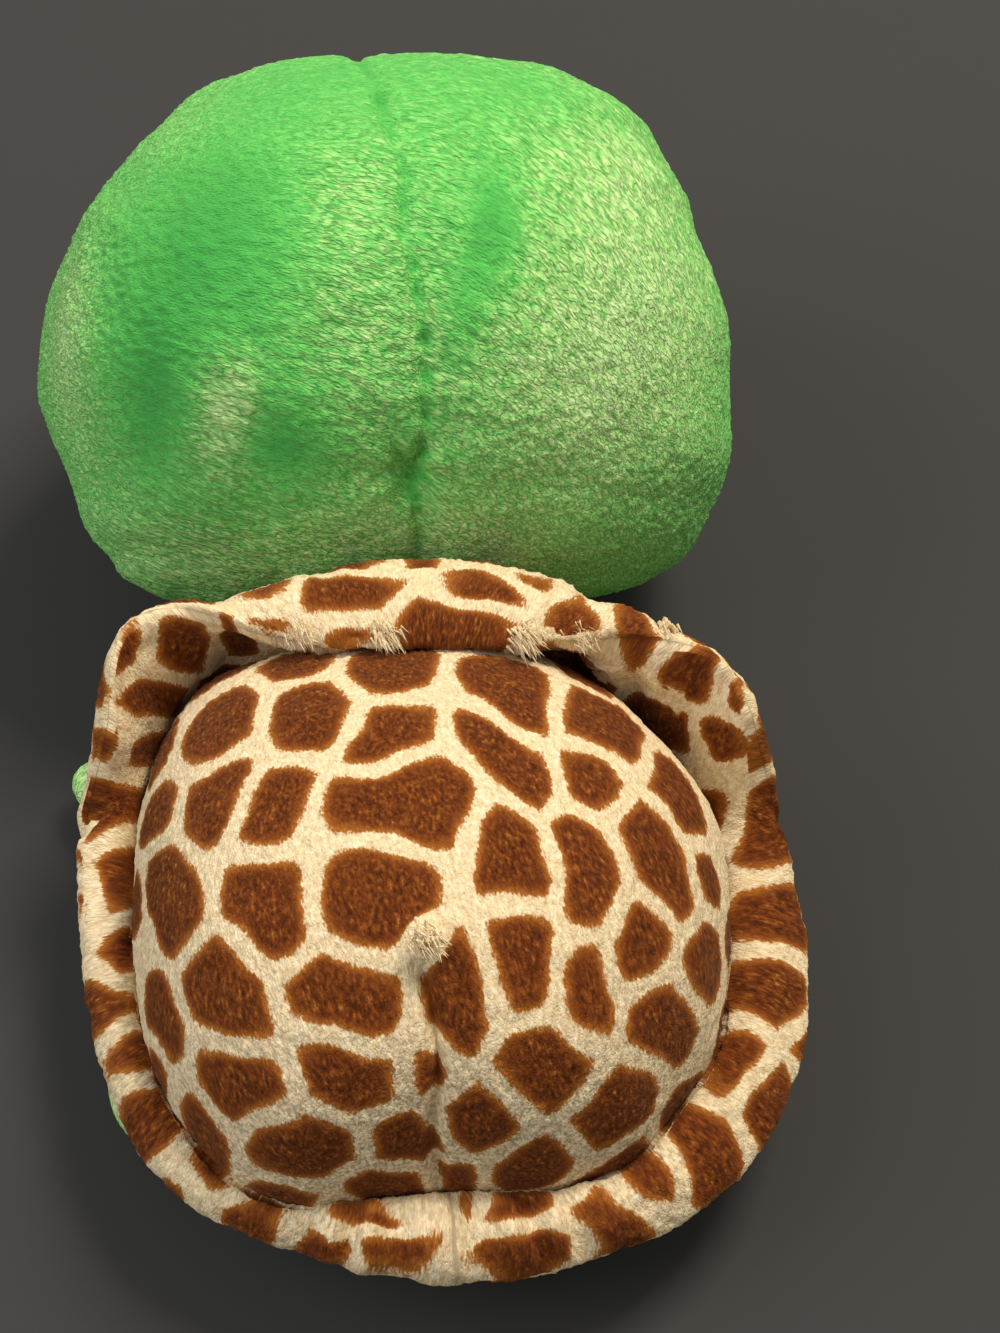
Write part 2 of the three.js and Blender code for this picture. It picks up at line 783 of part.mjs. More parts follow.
// How far out a limb's root lies so that it just clears the belly, which slopes in towards its base
function rootRadius(height) {
  const profile = bellyProfile(0);
  const after = profile.findIndex(([, z]) => z <= height);
  const [upperRadius, upperHeight] = profile[after - 1];
  const [lowerRadius, lowerHeight] = profile[after];
  const share = (upperHeight - height) / (upperHeight - lowerHeight);
  const slope = (upperRadius - lowerRadius) / (upperHeight - lowerHeight);
  return mix(upperRadius, lowerRadius, share) + (limbRoot + limbClearance) * Math.hypot(1, slope);
}

const turtle = new THREE.Group();
turtle.name = "plush_turtle";
turtle.position.set(shellAside, shellCentre, 0);
turtle.add(torso());
turtle.add(neck());
turtle.add(head());
for (const [word, side] of [["right", 1], ["left", -1]]) {
  turtle.add(limbPieces(`front_flipper_${word}`, frontFlipper, side));
  turtle.add(limbPieces(`rear_flipper_${word}`, rearFlipper, side));
}
turtle.add(limbPieces("tail", tail, 1));
turtle.updateMatrixWorld(true);

export default turtle;
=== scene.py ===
# %% [markdown]
# # A small plush turtle
# The toy lies on its belly. Its head is one big stuffed ball of green plush, and its body is a
# printed dome inside a padded brim that curls up behind the head. This lesson dresses a finished
# frame of plain solids: each cloth part gets its own dense mesh with real pile relief, its own
# colour and its own place on a moving body. All sizes are in millimetres, turned to metres last.

# %% Load the frame
import json
import math

import bpy
import numpy as np
from mathutils import Matrix, Vector

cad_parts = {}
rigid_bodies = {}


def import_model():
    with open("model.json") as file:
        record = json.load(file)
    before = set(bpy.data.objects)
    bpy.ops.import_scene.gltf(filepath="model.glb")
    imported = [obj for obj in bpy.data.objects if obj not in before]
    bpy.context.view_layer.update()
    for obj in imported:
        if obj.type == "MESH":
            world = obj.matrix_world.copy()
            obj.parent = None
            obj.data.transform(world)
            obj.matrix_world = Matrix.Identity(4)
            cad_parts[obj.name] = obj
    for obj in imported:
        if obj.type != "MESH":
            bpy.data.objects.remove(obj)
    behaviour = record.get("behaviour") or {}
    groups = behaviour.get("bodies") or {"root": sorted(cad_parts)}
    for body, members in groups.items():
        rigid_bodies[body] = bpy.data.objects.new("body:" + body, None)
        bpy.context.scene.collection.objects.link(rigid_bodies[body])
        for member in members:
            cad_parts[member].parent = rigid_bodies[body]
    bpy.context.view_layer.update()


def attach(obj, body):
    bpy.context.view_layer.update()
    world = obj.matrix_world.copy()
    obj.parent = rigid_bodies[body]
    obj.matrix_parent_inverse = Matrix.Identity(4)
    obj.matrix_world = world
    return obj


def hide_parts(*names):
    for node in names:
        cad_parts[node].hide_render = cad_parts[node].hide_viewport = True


for leftover in list(bpy.data.objects):
    bpy.data.objects.remove(leftover)
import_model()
MM = 0.001
shell_centre_y = -35.3
# The parts are laid out about the shell's middle, and the toy's middle is a little aside of it.
toy_aside = -2.05

# %% [markdown]
# ## Camera
# The picture is taken from behind the toy and above it, a little from its left. A camera is
# easiest to place from a target, an azimuth, an elevation and a distance. Its small roll is a
# turn about the line of sight, which tilts the picture without moving the camera.

# %% Line of sight
camera_target = np.array([10.55, -2.35, 25.0])
camera_azimuth = math.radians(-7.98)
camera_elevation = math.radians(55.96)
camera_roll = math.radians(2.89)
camera_distance = 320.6

sight = np.array([
    -math.sin(camera_azimuth) * math.cos(camera_elevation),
    math.cos(camera_azimuth) * math.cos(camera_elevation),
    -math.sin(camera_elevation),
])
level_right = np.cross(sight, [0.0, 0.0, 1.0])
level_right /= np.linalg.norm(level_right)
level_up = np.cross(level_right, sight)
camera_right = level_right * math.cos(camera_roll) + level_up * math.sin(camera_roll)
camera_up = level_up * math.cos(camera_roll) - level_right * math.sin(camera_roll)
camera_place = camera_target - sight * camera_distance
print("line of sight:", np.round(sight, 3))

# %% Place the camera
focal_pixels = 2478.0
photo_height_pixels = 1333.0
film_height = 36.0
nearest_seen, farthest_seen = 10 * MM, 10.0


def place_in_scene(name, data):
    """A new object in the scene for a camera, a lamp or a mesh."""
    made = bpy.data.objects.new(name, data)
    bpy.context.scene.collection.objects.link(made)
    return made


camera = place_in_scene("camera", bpy.data.cameras.new("camera"))
camera.data.sensor_width = film_height
camera.data.lens = focal_pixels / photo_height_pixels * film_height
camera.data.clip_start = nearest_seen
camera.data.clip_end = farthest_seen
turned = Matrix([camera_right, camera_up, -sight]).transposed().to_4x4()
camera.matrix_world = Matrix.Translation(Vector(camera_place * MM)) @ turned
bpy.context.scene.camera = camera
print("camera stands at", np.round(camera_place), "mm, lens", round(camera.data.lens, 1))

# %% [markdown]
# ## Colours and nodes
# Colours are written as they look on a screen, in sRGB hex. Blender calculates with linear
# light, so one function turns them. A second one adds any shader or geometry node with its
# settings and its links in a single call, which keeps the trees below short enough to read.

# %% Colour and node helpers
def linear(hex_colour):
    """The linear colour of an sRGB hex value."""
    parts = [int(hex_colour[i:i + 2], 16) / 255 for i in (1, 3, 5)]
    return tuple(p / 12.92 if p <= 0.04045 else ((p + 0.055) / 1.055) ** 2.4 for p in parts) + (1.0,)


def feed(tree, node, inputs):
    """Sets inputs of a node: to a value, a hex colour, a socket, or a node's first live output."""
    for key, value in inputs.items():
        if isinstance(value, bpy.types.Node):
            value = next(socket for socket in value.outputs if socket.enabled)
        if isinstance(value, bpy.types.NodeSocket):
            tree.links.new(value, node.inputs[key])
        elif isinstance(value, str) and value.startswith("#"):
            node.inputs[key].default_value = linear(value)
        else:
            node.inputs[key].default_value = value


def add(tree, kind, inputs=None, stops=(), **settings):
    """A node of a kind in a tree. Stops are the (place, hex colour) pairs of a colour ramp."""
    made = tree.nodes.new(kind)
    for name, value in settings.items():
        setattr(made, name, value)
    feed(tree, made, inputs or {})
    for _ in stops[2:]:
        made.color_ramp.elements.new(1.0)
    for element, (place, colour) in zip(made.color_ramp.elements if stops else (), stops):
        element.position = place
        element.color = linear(colour)
    return made


def new_material(name, **finish):
    """A material with a Principled shader that has these plain values."""
    material = bpy.data.materials.new(name)
    material.use_nodes = True
    tree = material.node_tree
    shader = tree.nodes["Principled BSDF"]
    feed(tree, shader, {key.replace("_", " "): value for key, value in finish.items()})
    print("material", name)
    return material, tree, shader


# %% [markdown]
# ## Floor and light
# A plain dark floor and soft studio lamps. The key lamp stands above, ahead of the head and a
# little to the right, so the back of the shell and the undersides fall into gentle shade. The
# strengths are plain: a colour renders about as it is written.

# %% Floor
floor_half = 3.0
floor_mesh = bpy.data.meshes.new("floor")
floor_mesh.from_pydata(
    [(x * floor_half, y * floor_half, 0.0) for x, y in ((-1, -1), (1, -1), (1, 1), (-1, 1))],
    [], [(0, 1, 2, 3)])
floor = place_in_scene("floor", floor_mesh)
floor_mesh.materials.append(new_material("matt_floor_paint", Roughness=0.9, Base_Color="#353432")[0])


# %% Lamps and sky
def lamp(name, place, aim, width, watts, colour):
    """A square area lamp that faces a point. Place, aim and width are in metres."""
    data = bpy.data.lights.new(name, "AREA")
    data.size = width
    data.energy = watts
    data.color = linear(colour)[:3]
    made = place_in_scene(name, data)
    made.location = place
    made.rotation_euler = (Vector(aim) - Vector(place)).to_track_quat("-Z", "Y").to_euler()
    print(name, "gives", watts, "watts")


lamp("key_lamp", (0.28, 0.24, 0.71), (0.0, -0.01, 0.03), 0.25, 5.6, "#FFF6EA")
lamp("fill_lamp", (-0.6, -0.05, 0.55), (0.0, 0.0, 0.03), 0.5, 2.9, "#F2F4FF")
world = bpy.data.worlds.new("studio")
bpy.context.scene.world = world
world.use_nodes = True
feed(world.node_tree, world.node_tree.nodes["Background"], {"Color": "#F4F2EE", "Strength": 0.47})
bpy.context.scene.view_settings.view_transform = "Standard"

# %% [markdown]
# ## From a grid of points to a closed skin
# Every stuffed piece here is a closed skin over rings of points. A grid is the simplest way to
# make one by rule: the rings run round the piece, and either the last ring joins the first, as
# on the brim, or a single point closes each end, as on the head.

# %% Skin over rings
def skin(name, rings, joined=False):
    """A closed mesh over rings of points in mm, with its faces outwards."""
    count, around = rings.shape[:2]
    points = rings.reshape(-1, 3)
    index = np.arange(count * around).reshape(count, around)
    below = index if joined else index[:-1]
    above = np.roll(index, -1, axis=0) if joined else index[1:]
    quads = np.stack([below, np.roll(below, -1, 1), np.roll(above, -1, 1), above], -1).reshape(-1, 4)
    faces = quads.tolist()
    if not joined:
        ends = np.stack([rings[0].mean(0), rings[-1].mean(0)])
        first, last = len(points), len(points) + 1
        points = np.concatenate([points, ends])
        faces += [(first, int(b), int(a)) for a, b in zip(index[0], np.roll(index[0], -1))]
        faces += [(last, int(a), int(b)) for a, b in zip(index[-1], np.roll(index[-1], -1))]
    corners = points[quads]
    volume = np.einsum("ij,ij->i", corners[:, 0], np.cross(corners[:, 1], corners[:, 2])).sum()
    volume += np.einsum("ij,ij->i", corners[:, 0], np.cross(corners[:, 2], corners[:, 3])).sum()
    if volume < 0:
        faces = [face[::-1] for face in faces]
    mesh = bpy.data.meshes.new(name)
    mesh.from_pydata((points * MM).tolist(), [], faces)
    mesh.update()
    mesh.shade_smooth()
    print(name, "has", len(faces), "faces")
    return place_in_scene(name, mesh)


# %% Vertices in and out
def points_of(piece):
    """The vertices of a piece, in mm."""
    values = np.zeros(len(piece.data.vertices) * 3, np.float32)
    piece.data.vertices.foreach_get("co", values)
    return values.reshape(-1, 3).astype(float) / MM


def normals_of(piece):
    """The vertex normals of a piece."""
    values = np.zeros(len(piece.data.vertices) * 3, np.float32)
    piece.data.vertex_normals.foreach_get("vector", values)
    return values.reshape(-1, 3).astype(float)


def keep_values(piece, name, values):
    """Stores a number or a vector for each vertex."""
    kind, field = ("FLOAT_VECTOR", "vector") if values.ndim == 2 else ("FLOAT", "value")
    stored = piece.data.attributes.new(name, kind, "POINT")
    stored.data.foreach_set(field, values.astype(np.float32).ravel())


def flatten_to_floor(piece):
    """Presses what would reach below the floor flat on to it."""
    points = points_of(piece)
    points[:, 2] = np.maximum(points[:, 2], 0)
    piece.data.vertices.foreach_set("co", (points * MM).astype(np.float32).ravel())
    piece.data.update()


print("the floor is", np.ptp(points_of(floor), axis=0)[:2], "mm")

# %% [markdown]
# ## Curves, presses and handing over
# Cloth outlines have no formula, so each is a short table of measured rows with a smooth curve
# through them. Cloth that lies against something round is pressed out of a ball. A finished
# piece then takes its place on a moving body and stands for the plain solids that it dresses.

# %% Tables and presses
def smooth_table(table, places):
    """A smooth curve through rows of (place, values...), read at some places."""
    keys = np.array([row[0] for row in table], float)
    rows = np.array([row[1:] for row in table], float)
    slopes = np.gradient(rows, keys, axis=0)
    places = np.clip(places, keys[0], keys[-1])
    i = np.clip(np.searchsorted(keys, places, side="right") - 1, 0, len(keys) - 2)
    gap = (keys[i + 1] - keys[i])[..., None]
    t = (places[..., None] - keys[i][..., None]) / gap
    start = (2 * t**3 - 3 * t**2 + 1) * rows[i] + (t**3 - 2 * t**2 + t) * gap * slopes[i]
    end = (3 * t**2 - 2 * t**3) * rows[i + 1] + (t**3 - t**2) * gap * slopes[i + 1]
    return np.moveaxis(start + end, -1, 0)


def wrapped(table):
    """A table by bearing with a copy before and after it, so that its curve closes."""
    return ([(row[0] - 360, *row[1:]) for row in table[:-1]] + table
            + [(row[0] + 360, *row[1:]) for row in table[1:]])


def pressed(points, centre, radius):
    """Points kept out of a ball, as cloth is where it lies against something round."""
    away = points - centre
    distance = np.linalg.norm(away, axis=-1)[..., None]
    return centre + away * np.maximum(1, radius / np.maximum(distance, 1e-6))


def hill(distance, width):
    """A soft hill: 1 in its middle, and fading over a width."""
    return np.exp(-(distance / width) ** 2)


print("half way up a table from 0 to 1:", smooth_table([(0, 0.0), (1, 1.0)], np.array([0.5]))[0])


# %% Hand a piece over
def hand_over(piece, body, slot, *nodes, fill=None):
    """A finished piece rides its body and stands for its solids. Its slot is not used."""
    piece.data.transform(Matrix.Translation((toy_aside * MM, 0.0, 0.0)))
    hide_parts(*nodes)
    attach(piece, body)


# %% [markdown]
# ## Pile
# The plush is a knitted cloth with a short, dense pile that leans one way and clumps into tufts
# of about a millimetre. Single hairs would be far too many, so the pile is relief in the mesh:
# a Geometry Nodes tree moves each vertex along its normal by noise that is stretched along the
# nap. It reads the cloth's own coordinates, so the tufts follow the surface.

# %% Start, end and run a Geometry Nodes tree
def new_tree(name, result, **takes):
    """A geometry tree with one result and named inputs: a kind of socket, or a number to start from."""
    tree = bpy.data.node_groups.new(name, "GeometryNodeTree")
    for label, start in takes.items():
        kind = {float: "Float", int: "Int"}.get(type(start), start)
        socket = tree.interface.new_socket(
            label.replace("_", " "), in_out="INPUT", socket_type="NodeSocket" + kind)
        if kind != start:
            socket.default_value = start
    tree.interface.new_socket(result, in_out="OUTPUT", socket_type="NodeSocketGeometry")
    return tree, add(tree, "NodeGroupInput").outputs


def end_tree(tree, shape, material, result):
    """Ends a tree: what it made becomes real mesh, takes its material and is handed out."""
    real = add(tree, "GeometryNodeRealizeInstances", {"Geometry": shape})
    dressed = add(tree, "GeometryNodeSetMaterial", {"Geometry": real, "Material": material})
    add(tree, "NodeGroupOutput", {result: dressed})
    return tree


def run_tree(piece, tree, **values):
    """Runs a tree on a piece with these inputs, and keeps the result as its plain mesh."""
    modifier = piece.modifiers.new(tree.name, "NODES")
    modifier.node_group = tree
    sockets = {s.name: s.identifier for s in tree.interface.items_tree if s.in_out == "INPUT"}
    for name, value in values.items():
        modifier[sockets[name.replace("_", " ")]] = value
    graph = bpy.context.evaluated_depsgraph_get()
    result = bpy.data.meshes.new_from_object(piece.evaluated_get(graph), depsgraph=graph)
    piece.modifiers.clear()
    old = piece.data
    piece.data = result
    bpy.data.meshes.remove(old)
    result.name = piece.name
    print(piece.name, "has", len(result.vertices), "points")


# %% Geometry Nodes tree for the pile
def pile_tree():
    """A tree with named inputs that raises tufts on a skin and sets its material."""
    tree, given = new_tree(
        "raise_pile", "Skin", Skin="Geometry", Tuft_width=0.9, Tuft_length=2.2, Pile_depth=0.4,
        Lump_width=9.0, Lump_depth=0.3, Cloth="Material")
    cloth = add(tree, "GeometryNodeInputNamedAttribute", {"Name": "cloth"}, data_type="FLOAT_VECTOR")
    tuft = add(tree, "ShaderNodeCombineXYZ",
               {"X": given["Tuft width"], "Y": given["Tuft length"], "Z": given["Tuft width"]})
    spread = add(tree, "ShaderNodeVectorMath", {0: cloth.outputs["Attribute"], 1: tuft}, operation="DIVIDE")
    tufts = add(tree, "ShaderNodeTexNoise",
                {"Vector": spread, "Scale": 1.0, "Detail": 2.0, "Roughness": 0.55})
    # Stuffing adds slow lumps, which don't follow the cloth.
    place = add(tree, "GeometryNodeInputPosition")
    to_mm = add(tree, "ShaderNodeVectorMath", {0: place, "Scale": 1 / MM}, operation="SCALE")
    lump_place = add(tree, "ShaderNodeVectorMath", {0: to_mm, 1: given["Lump width"]}, operation="DIVIDE")
    lumps = add(tree, "ShaderNodeTexNoise", {"Vector": lump_place, "Scale": 1.0, "Detail": 1.0})
    raised, swell = (
        add(tree, "ShaderNodeMath", {
            0: add(tree, "ShaderNodeMath", {0: noise.outputs["Fac"], 1: 0.5}, operation="SUBTRACT"),
            1: given[depth]}, operation="MULTIPLY")
        for noise, depth in ((tufts, "Pile depth"), (lumps, "Lump depth")))
    total = add(tree, "ShaderNodeMath", {0: raised, 1: swell}, operation="ADD")
    metres = add(tree, "ShaderNodeMath", {0: total, 1: 2 * MM}, operation="MULTIPLY")
    outward = add(tree, "GeometryNodeInputNormal")
    push = add(tree, "ShaderNodeVectorMath", {0: outward, "Scale": metres}, operation="SCALE")
    moved = add(tree, "GeometryNodeSetPosition", {"Geometry": given["Skin"], "Offset": push})
    return end_tree(tree, moved, given["Cloth"], "Skin")


raise_pile = pile_tree()
print("tree", raise_pile.name, "has", len(raise_pile.nodes), "nodes")

# %% [markdown]
# ## Short plush
# Polyester plush looks lighter where the nap leans towards the eye and darker where it is
# brushed the other way. That light and dark is painted sheen: each vertex carries the lean as a
# number called nap, and the colour is paler where it is higher. Noise in the cloth's
# coordinates adds the tufts, thin lines of painted shade lie between the rows of tufts, and a
# soft sheen gives the bloom at grazing angles. The real hairs are finer than any of these.

# %% Patterns on the cloth
crevice_drop, hair_relief = 0.35, 0.35 * MM


def cloth_noise(tree, across, along, detail=2.0, seed=0.0):
    """Noise in cloth coordinates, with a grain of these two sizes in mm."""
    cloth = add(tree, "ShaderNodeAttribute", attribute_name="cloth").outputs["Vector"]
    sized = add(tree, "ShaderNodeVectorMath", {0: cloth, 1: (across, along, across)}, operation="DIVIDE")
    shifted = add(tree, "ShaderNodeVectorMath", {0: sized, 1: (seed, seed, seed)}, operation="ADD")
    return add(tree, "ShaderNodeTexNoise", {"Vector": shifted, "Scale": 1.0, "Detail": detail})


def crevices(tree, across, along, width, seed):
    """Thin lines between rows of tufts of these sizes in mm: 1 in a line, 0 on a tuft."""
    rows = cloth_noise(tree, across, along, 1.5, seed)
    off = add(tree, "ShaderNodeMath", {0: rows, 1: 0.5}, operation="SUBTRACT")
    near = add(tree, "ShaderNodeMath", {0: off}, operation="ABSOLUTE")
    return add(tree, "ShaderNodeMapRange", {"Value": near, "From Min": width, "From Max": 0.0})


def pile_bump(tree, lines, strength):
    """Hair-fine relief, too fine for the mesh. The real hairs are thinner still."""
    hairs = cloth_noise(tree, 0.26, 0.8, 3.0, 5.0)
    height = add(tree, "ShaderNodeMath", {0: lines, 1: -crevice_drop, 2: hairs}, operation="MULTIPLY_ADD")
    return add(tree, "ShaderNodeBump", {"Height": height, "Strength": strength, "Distance": hair_relief})


print("single hairs stand", round(hair_relief / MM, 2), "mm proud")


# %% Green plush
def green_short_plush():
    """Short green plush, knitted and cut, with lanes of nap whose light and dark is painted sheen."""
    material, tree, shader = new_material(
        "green_short_plush", Roughness=0.82, Sheen_Weight=0.25, Sheen_Roughness=0.45,
        Sheen_Tint="#D8F0A8", Specular_IOR_Level=0.2)
    nap = add(tree, "ShaderNodeAttribute", attribute_name="nap").outputs["Fac"]
    tufts = cloth_noise(tree, 0.7, 1.9, 3.0)
    hairs = cloth_noise(tree, 0.3, 0.9, 2.0, 21.0)
    both = add(tree, "ShaderNodeMath", {0: tufts, 1: hairs}, operation="ADD")
    lean = add(tree, "ShaderNodeMath", {0: both, 1: 1.05, 2: -1.04}, operation="MULTIPLY_ADD")
    # Pile that lies away from the eye is smooth, and pile that leans towards it shows its tufts.
    rough = add(tree, "ShaderNodeMapRange", {"Value": nap, "From Min": 0.0, "From Max": 0.55})
    shown = add(tree, "ShaderNodeMath", {0: lean, 1: rough}, operation="MULTIPLY")
    mixed = add(tree, "ShaderNodeMath", {0: nap, 1: shown}, operation="ADD", use_clamp=True)
    # A higher nap paints a paler green: the sheen of the pile is painted into the colour.
    lit = add(tree, "ShaderNodeValToRGB", {"Fac": mixed}, stops=[
        (0.0, "#3FA445"), (0.3, "#5AC356"), (0.5, "#79D366"), (0.7, "#A0E07C"), (0.87, "#BEEC90"),
        (1.0, "#D6F6AA")])
    # The lines between the rows of tufts are painted shade: they darken the green.
    lines = add(tree, "ShaderNodeMath", {0: crevices(tree, 0.72, 2.4, 0.085, 31.0), 1: rough},
                operation="MULTIPLY")
    shade = add(tree, "ShaderNodeMath", {0: lines, 1: 0.6}, operation="MULTIPLY")
    colour = add(tree, "ShaderNodeMix", {"Factor": shade, 6: lit, 7: "#3F8A38"}, data_type="RGBA")
    feed(tree, shader, {"Base Color": colour, "Normal": pile_bump(tree, lines, 1.0)})
    return material


green_plush = green_short_plush()


# %% Printed plush
def printed_short_plush():
    """The same plush with brown patches printed into its cream pile."""
    material, tree, shader = new_material(
        "printed_short_plush", Roughness=0.85, Sheen_Weight=0.06, Sheen_Roughness=0.45,
        Sheen_Tint="#FFE4B8", Specular_IOR_Level=0.14)
    inside, nap = (add(tree, "ShaderNodeAttribute", attribute_name=name).outputs["Fac"]
                   for name in ("patch", "nap"))
    # The dye follows single tufts, so the border of a patch is furry.
    wander = add(tree, "ShaderNodeMath", {0: cloth_noise(tree, 0.3, 0.8, 3.0), 1: 1.3, 2: -0.65},
                 operation="MULTIPLY_ADD")
    edge = add(tree, "ShaderNodeMath", {0: inside, 1: wander}, operation="ADD")
    tufts = cloth_noise(tree, 0.45, 1.1, 3.0, 9.0)
    # Where the pile stands open, painted shade of its roots flecks the cream grey.
    roots = cloth_noise(tree, 0.42, 0.7, 2.0, 17.0)
    # Each of these runs from 0 to 1 while its value goes from the first limit to the second.
    brown_tone, rim_tone, depth, pale_tone, root_shade_flecks, is_open, is_brown = (
        add(tree, "ShaderNodeMapRange", {"Value": value, "From Min": first, "From Max": second})
        for value, first, second in (
            (tufts, 0.27, 0.73), (edge, 0.0, 2.0), (edge, 0.3, 1.8), (tufts, 0.2, 0.8),
            (roots, 0.46, 0.62), (nap, 0.5, 0.05), (edge, -0.16, 0.16)))
    brown = add(tree, "ShaderNodeValToRGB", {"Fac": brown_tone}, stops=[
        (0.0, "#3E1A04"), (0.5, "#68310A"), (0.85, "#8A4B16"), (1.0, "#A56C2E")])
    rim = add(tree, "ShaderNodeValToRGB", {"Fac": rim_tone}, stops=[
        (0.0, "#AD6A24"), (0.5, "#7C3D12"), (1.0, "#68310A")])
    deep = add(tree, "ShaderNodeMix", {"Factor": depth, 6: rim, 7: brown}, data_type="RGBA")
    pale = add(tree, "ShaderNodeValToRGB", {"Fac": pale_tone}, stops=[
        (0.0, "#CBAF82"), (0.5, "#ECD4A6"), (1.0, "#FFF3CF")])
    open_root_shade = add(tree, "ShaderNodeMath", {0: root_shade_flecks, 1: is_open}, operation="MULTIPLY")
    share = add(tree, "ShaderNodeMath", {0: open_root_shade, 1: 0.75}, operation="MULTIPLY")
    cream = add(tree, "ShaderNodeMix", {"Factor": share, 6: pale, 7: "#998B72"}, data_type="RGBA")
    colour = add(tree, "ShaderNodeMix", {"Factor": is_brown, 6: cream, 7: deep}, data_type="RGBA")
    relief = pile_bump(tree, crevices(tree, 0.45, 0.9, 0.1, 33.0), 0.6)
    feed(tree, shader, {"Base Color": colour, "Normal": relief})
    return material


printed_plush = printed_short_plush()

# %% [markdown]
# ## Head
# The head is sewn from two mirrored halves and stuffed tight, so it is a squashed ball with a
# seam over its crown. It is made by rule, as a rounded form with a muzzle, and its outline is
# then eased a little wider or narrower at a few heights, as the stuffing has pushed the cloth.
# The seam is a shallow groove that wanders, with a pinched knot low on the back.

# %% Head sizes
head_centre = np.array([1.7, 42.1, 38.6])
head_half = np.array([45.5, 36.0, 39.1])
head_taper, head_squareness = 0.28, 0.9
muzzle_out, muzzle_drop, muzzle_half_width, muzzle_half_height = 3.5, 7.0, 17.0, 12.0
# Rows of height along the picture, width share and sideways push in mm.
head_outline = [
    (-40, 1.5, 4.5), (-34, 1.38, 4.3), (-30.6, 1.19, 3.9), (-27.3, 1.105, 3.4), (-24, 1.037, 2.7),
    (-20.7, 1.0, 1.9), (-17.4, 0.99, 1.4), (-14, 0.988, 0.8), (-8, 0.987, -0.4), (-2, 0.99, -0.6),
    (4, 1.003, -0.5), (10.6, 1.014, -0.5), (16.9, 1.028, -0.4), (20, 1.054, -0.1), (23.3, 1.084, 0.0),
    (26.2, 1.123, 0.2), (29.4, 1.21, 0.1), (31.9, 1.29, -0.4), (33.8, 1.36, -1.0), (35.5, 1.5, -1.6),
    (40, 1.7, -2.0),
]
# How far the cloth is drawn in low on the left: height along the picture, mm.
left_tuck = [(-40, 4.0), (-36, 4.4), (-34, 5.2), (-32, 4.2), (-28, 1.8), (-25, 0.5), (-21, 0.0), (40, 0.0)]
# Where the crown seam wanders: height along the picture, offset from the middle.
head_seam = [(-40, 0.3), (-25, 0.9), (-21, 0.3), (-17.5, 1.9), (-11, 2.2), (-5, 2.8), (0, 2.1), (5, 1.8),
             (10, 1.1), (17, 1.5), (22, 0.2), (28, -0.8), (35, -2.4), (40, -2.6)]
seam_depth, seam_half_width = 0.8, 0.8
seam_slope_depth, seam_slope_width = 0.5, 4.0
# Small pits where the seam's thread pulls hardest: across, up, depth, radius. The first is the knot.
seam_pits = [(0.3, -20.6, 2.4, 2.4), (2.0, -17.0, 1.1, 0.9), (2.8, -4.5, 0.7, 0.9), (1.8, 4.5, 0.6, 0.8),
             (0.6, 8.5, 0.6, 0.8), (0.9, -25.5, 0.8, 0.9)]
# Round the knot: a wide hollow, and folds that run out of it like rays.
knot_hollow_depth, knot_hollow_radius = 0.8, 9.0
knot_folds, knot_fold_depth, knot_fold_radius, knot_core = 6, 0.5, 6.0, 2.0
neck_centre = np.array([0.0, 2.7, 24.0])
neck_radius, neck_room = 12.0, 0.9
print("the head is", 2 * head_half, "mm before it is eased")


# %% Head surface
def head_surface(turn, swing):
    """Points of the head in mm, from the turn off its right side and the swing round it."""
    ring = np.sin(turn) ** head_squareness
    x = head_half[0] * np.sign(np.cos(turn)) * np.abs(np.cos(turn)) ** head_squareness
    y = head_half[1] * ring * np.cos(swing)
    z = head_half[2] * ring * np.sin(swing)
    forward = (y / head_half[1] + z / head_half[2]) / 2
    x = x * (1 - head_taper * forward)
    muzzle = np.exp(-(x / muzzle_half_width) ** 2 - ((z + muzzle_drop) / muzzle_half_height) ** 2)
    y = y + np.where(y > 0, muzzle_out * muzzle, 0)
    return np.stack([x, y, z], -1)


def eased(points):
    """Head points with the outline pushed out or in, as stuffing does."""
    along = points @ level_up
    width, push = smooth_table(head_outline, along)
    moved = points.copy()
    tuck = smooth_table(left_tuck, along)[0] * np.clip(-points[..., 0] / 25, 0, 1)
    moved[..., 0] = points[..., 0] * width + push + tuck
    return moved


def head_grid(count, around, shrink=0.0):
    """Rings of points over the whole head, drawn in by a wall."""
    turns = np.linspace(0, math.pi, count + 2)[1:-1]
    swings = np.linspace(0, 2 * math.pi, around, endpoint=False)
    turn_grid, swing_grid = np.meshgrid(turns, swings, indexing="ij")
    points = eased(head_surface(turn_grid, swing_grid))
    return points * (1 - shrink / np.linalg.norm(points, axis=-1))[..., None]


print("stuffed, the head is", np.round(np.ptp(head_grid(40, 60).reshape(-1, 3), axis=0), 1), "mm")


# %% Head seam
def seam_waves(along):
    """How unevenly the thread pulls along the seam, from -1 to 1."""
    return np.sin(along * 0.9) * np.sin(along * 0.37 + 1.0)


def sewn(points):
    """Head points with the seam groove and the pinched knot pressed in."""
    along = points @ level_up
    off = points[..., 0] - smooth_table(head_seam, along)[0]
    size = np.linalg.norm(points, axis=-1)[..., None]
    back = np.clip(-(points @ sight) / 12 + 0.5, 0, 1)
    groove = seam_depth * (0.7 + 0.5 * seam_waves(along)) * hill(off, seam_half_width)
    groove += seam_slope_depth * hill(off, seam_slope_width)
    for k, (at_x, at_up, depth, radius) in enumerate(seam_pits):
        across, up = points[..., 0] - at_x, along - at_up
        away = np.hypot(across, up)
        pit = depth * hill(away, radius)
        if k == 0:
            pit += knot_hollow_depth * hill(away, knot_hollow_radius)
            folds = knot_fold_depth * np.cos(np.arctan2(up, across) * knot_folds)
            pit += folds * hill(away, knot_fold_radius) * np.clip(away / knot_core, 0, 1)
        groove = groove + pit * back
    return points - points / size * groove[..., None]


head_points = sewn(head_grid(330, 520)) + head_centre
head_plush = skin("head_plush", pressed(head_points, neck_centre, neck_radius + neck_room))
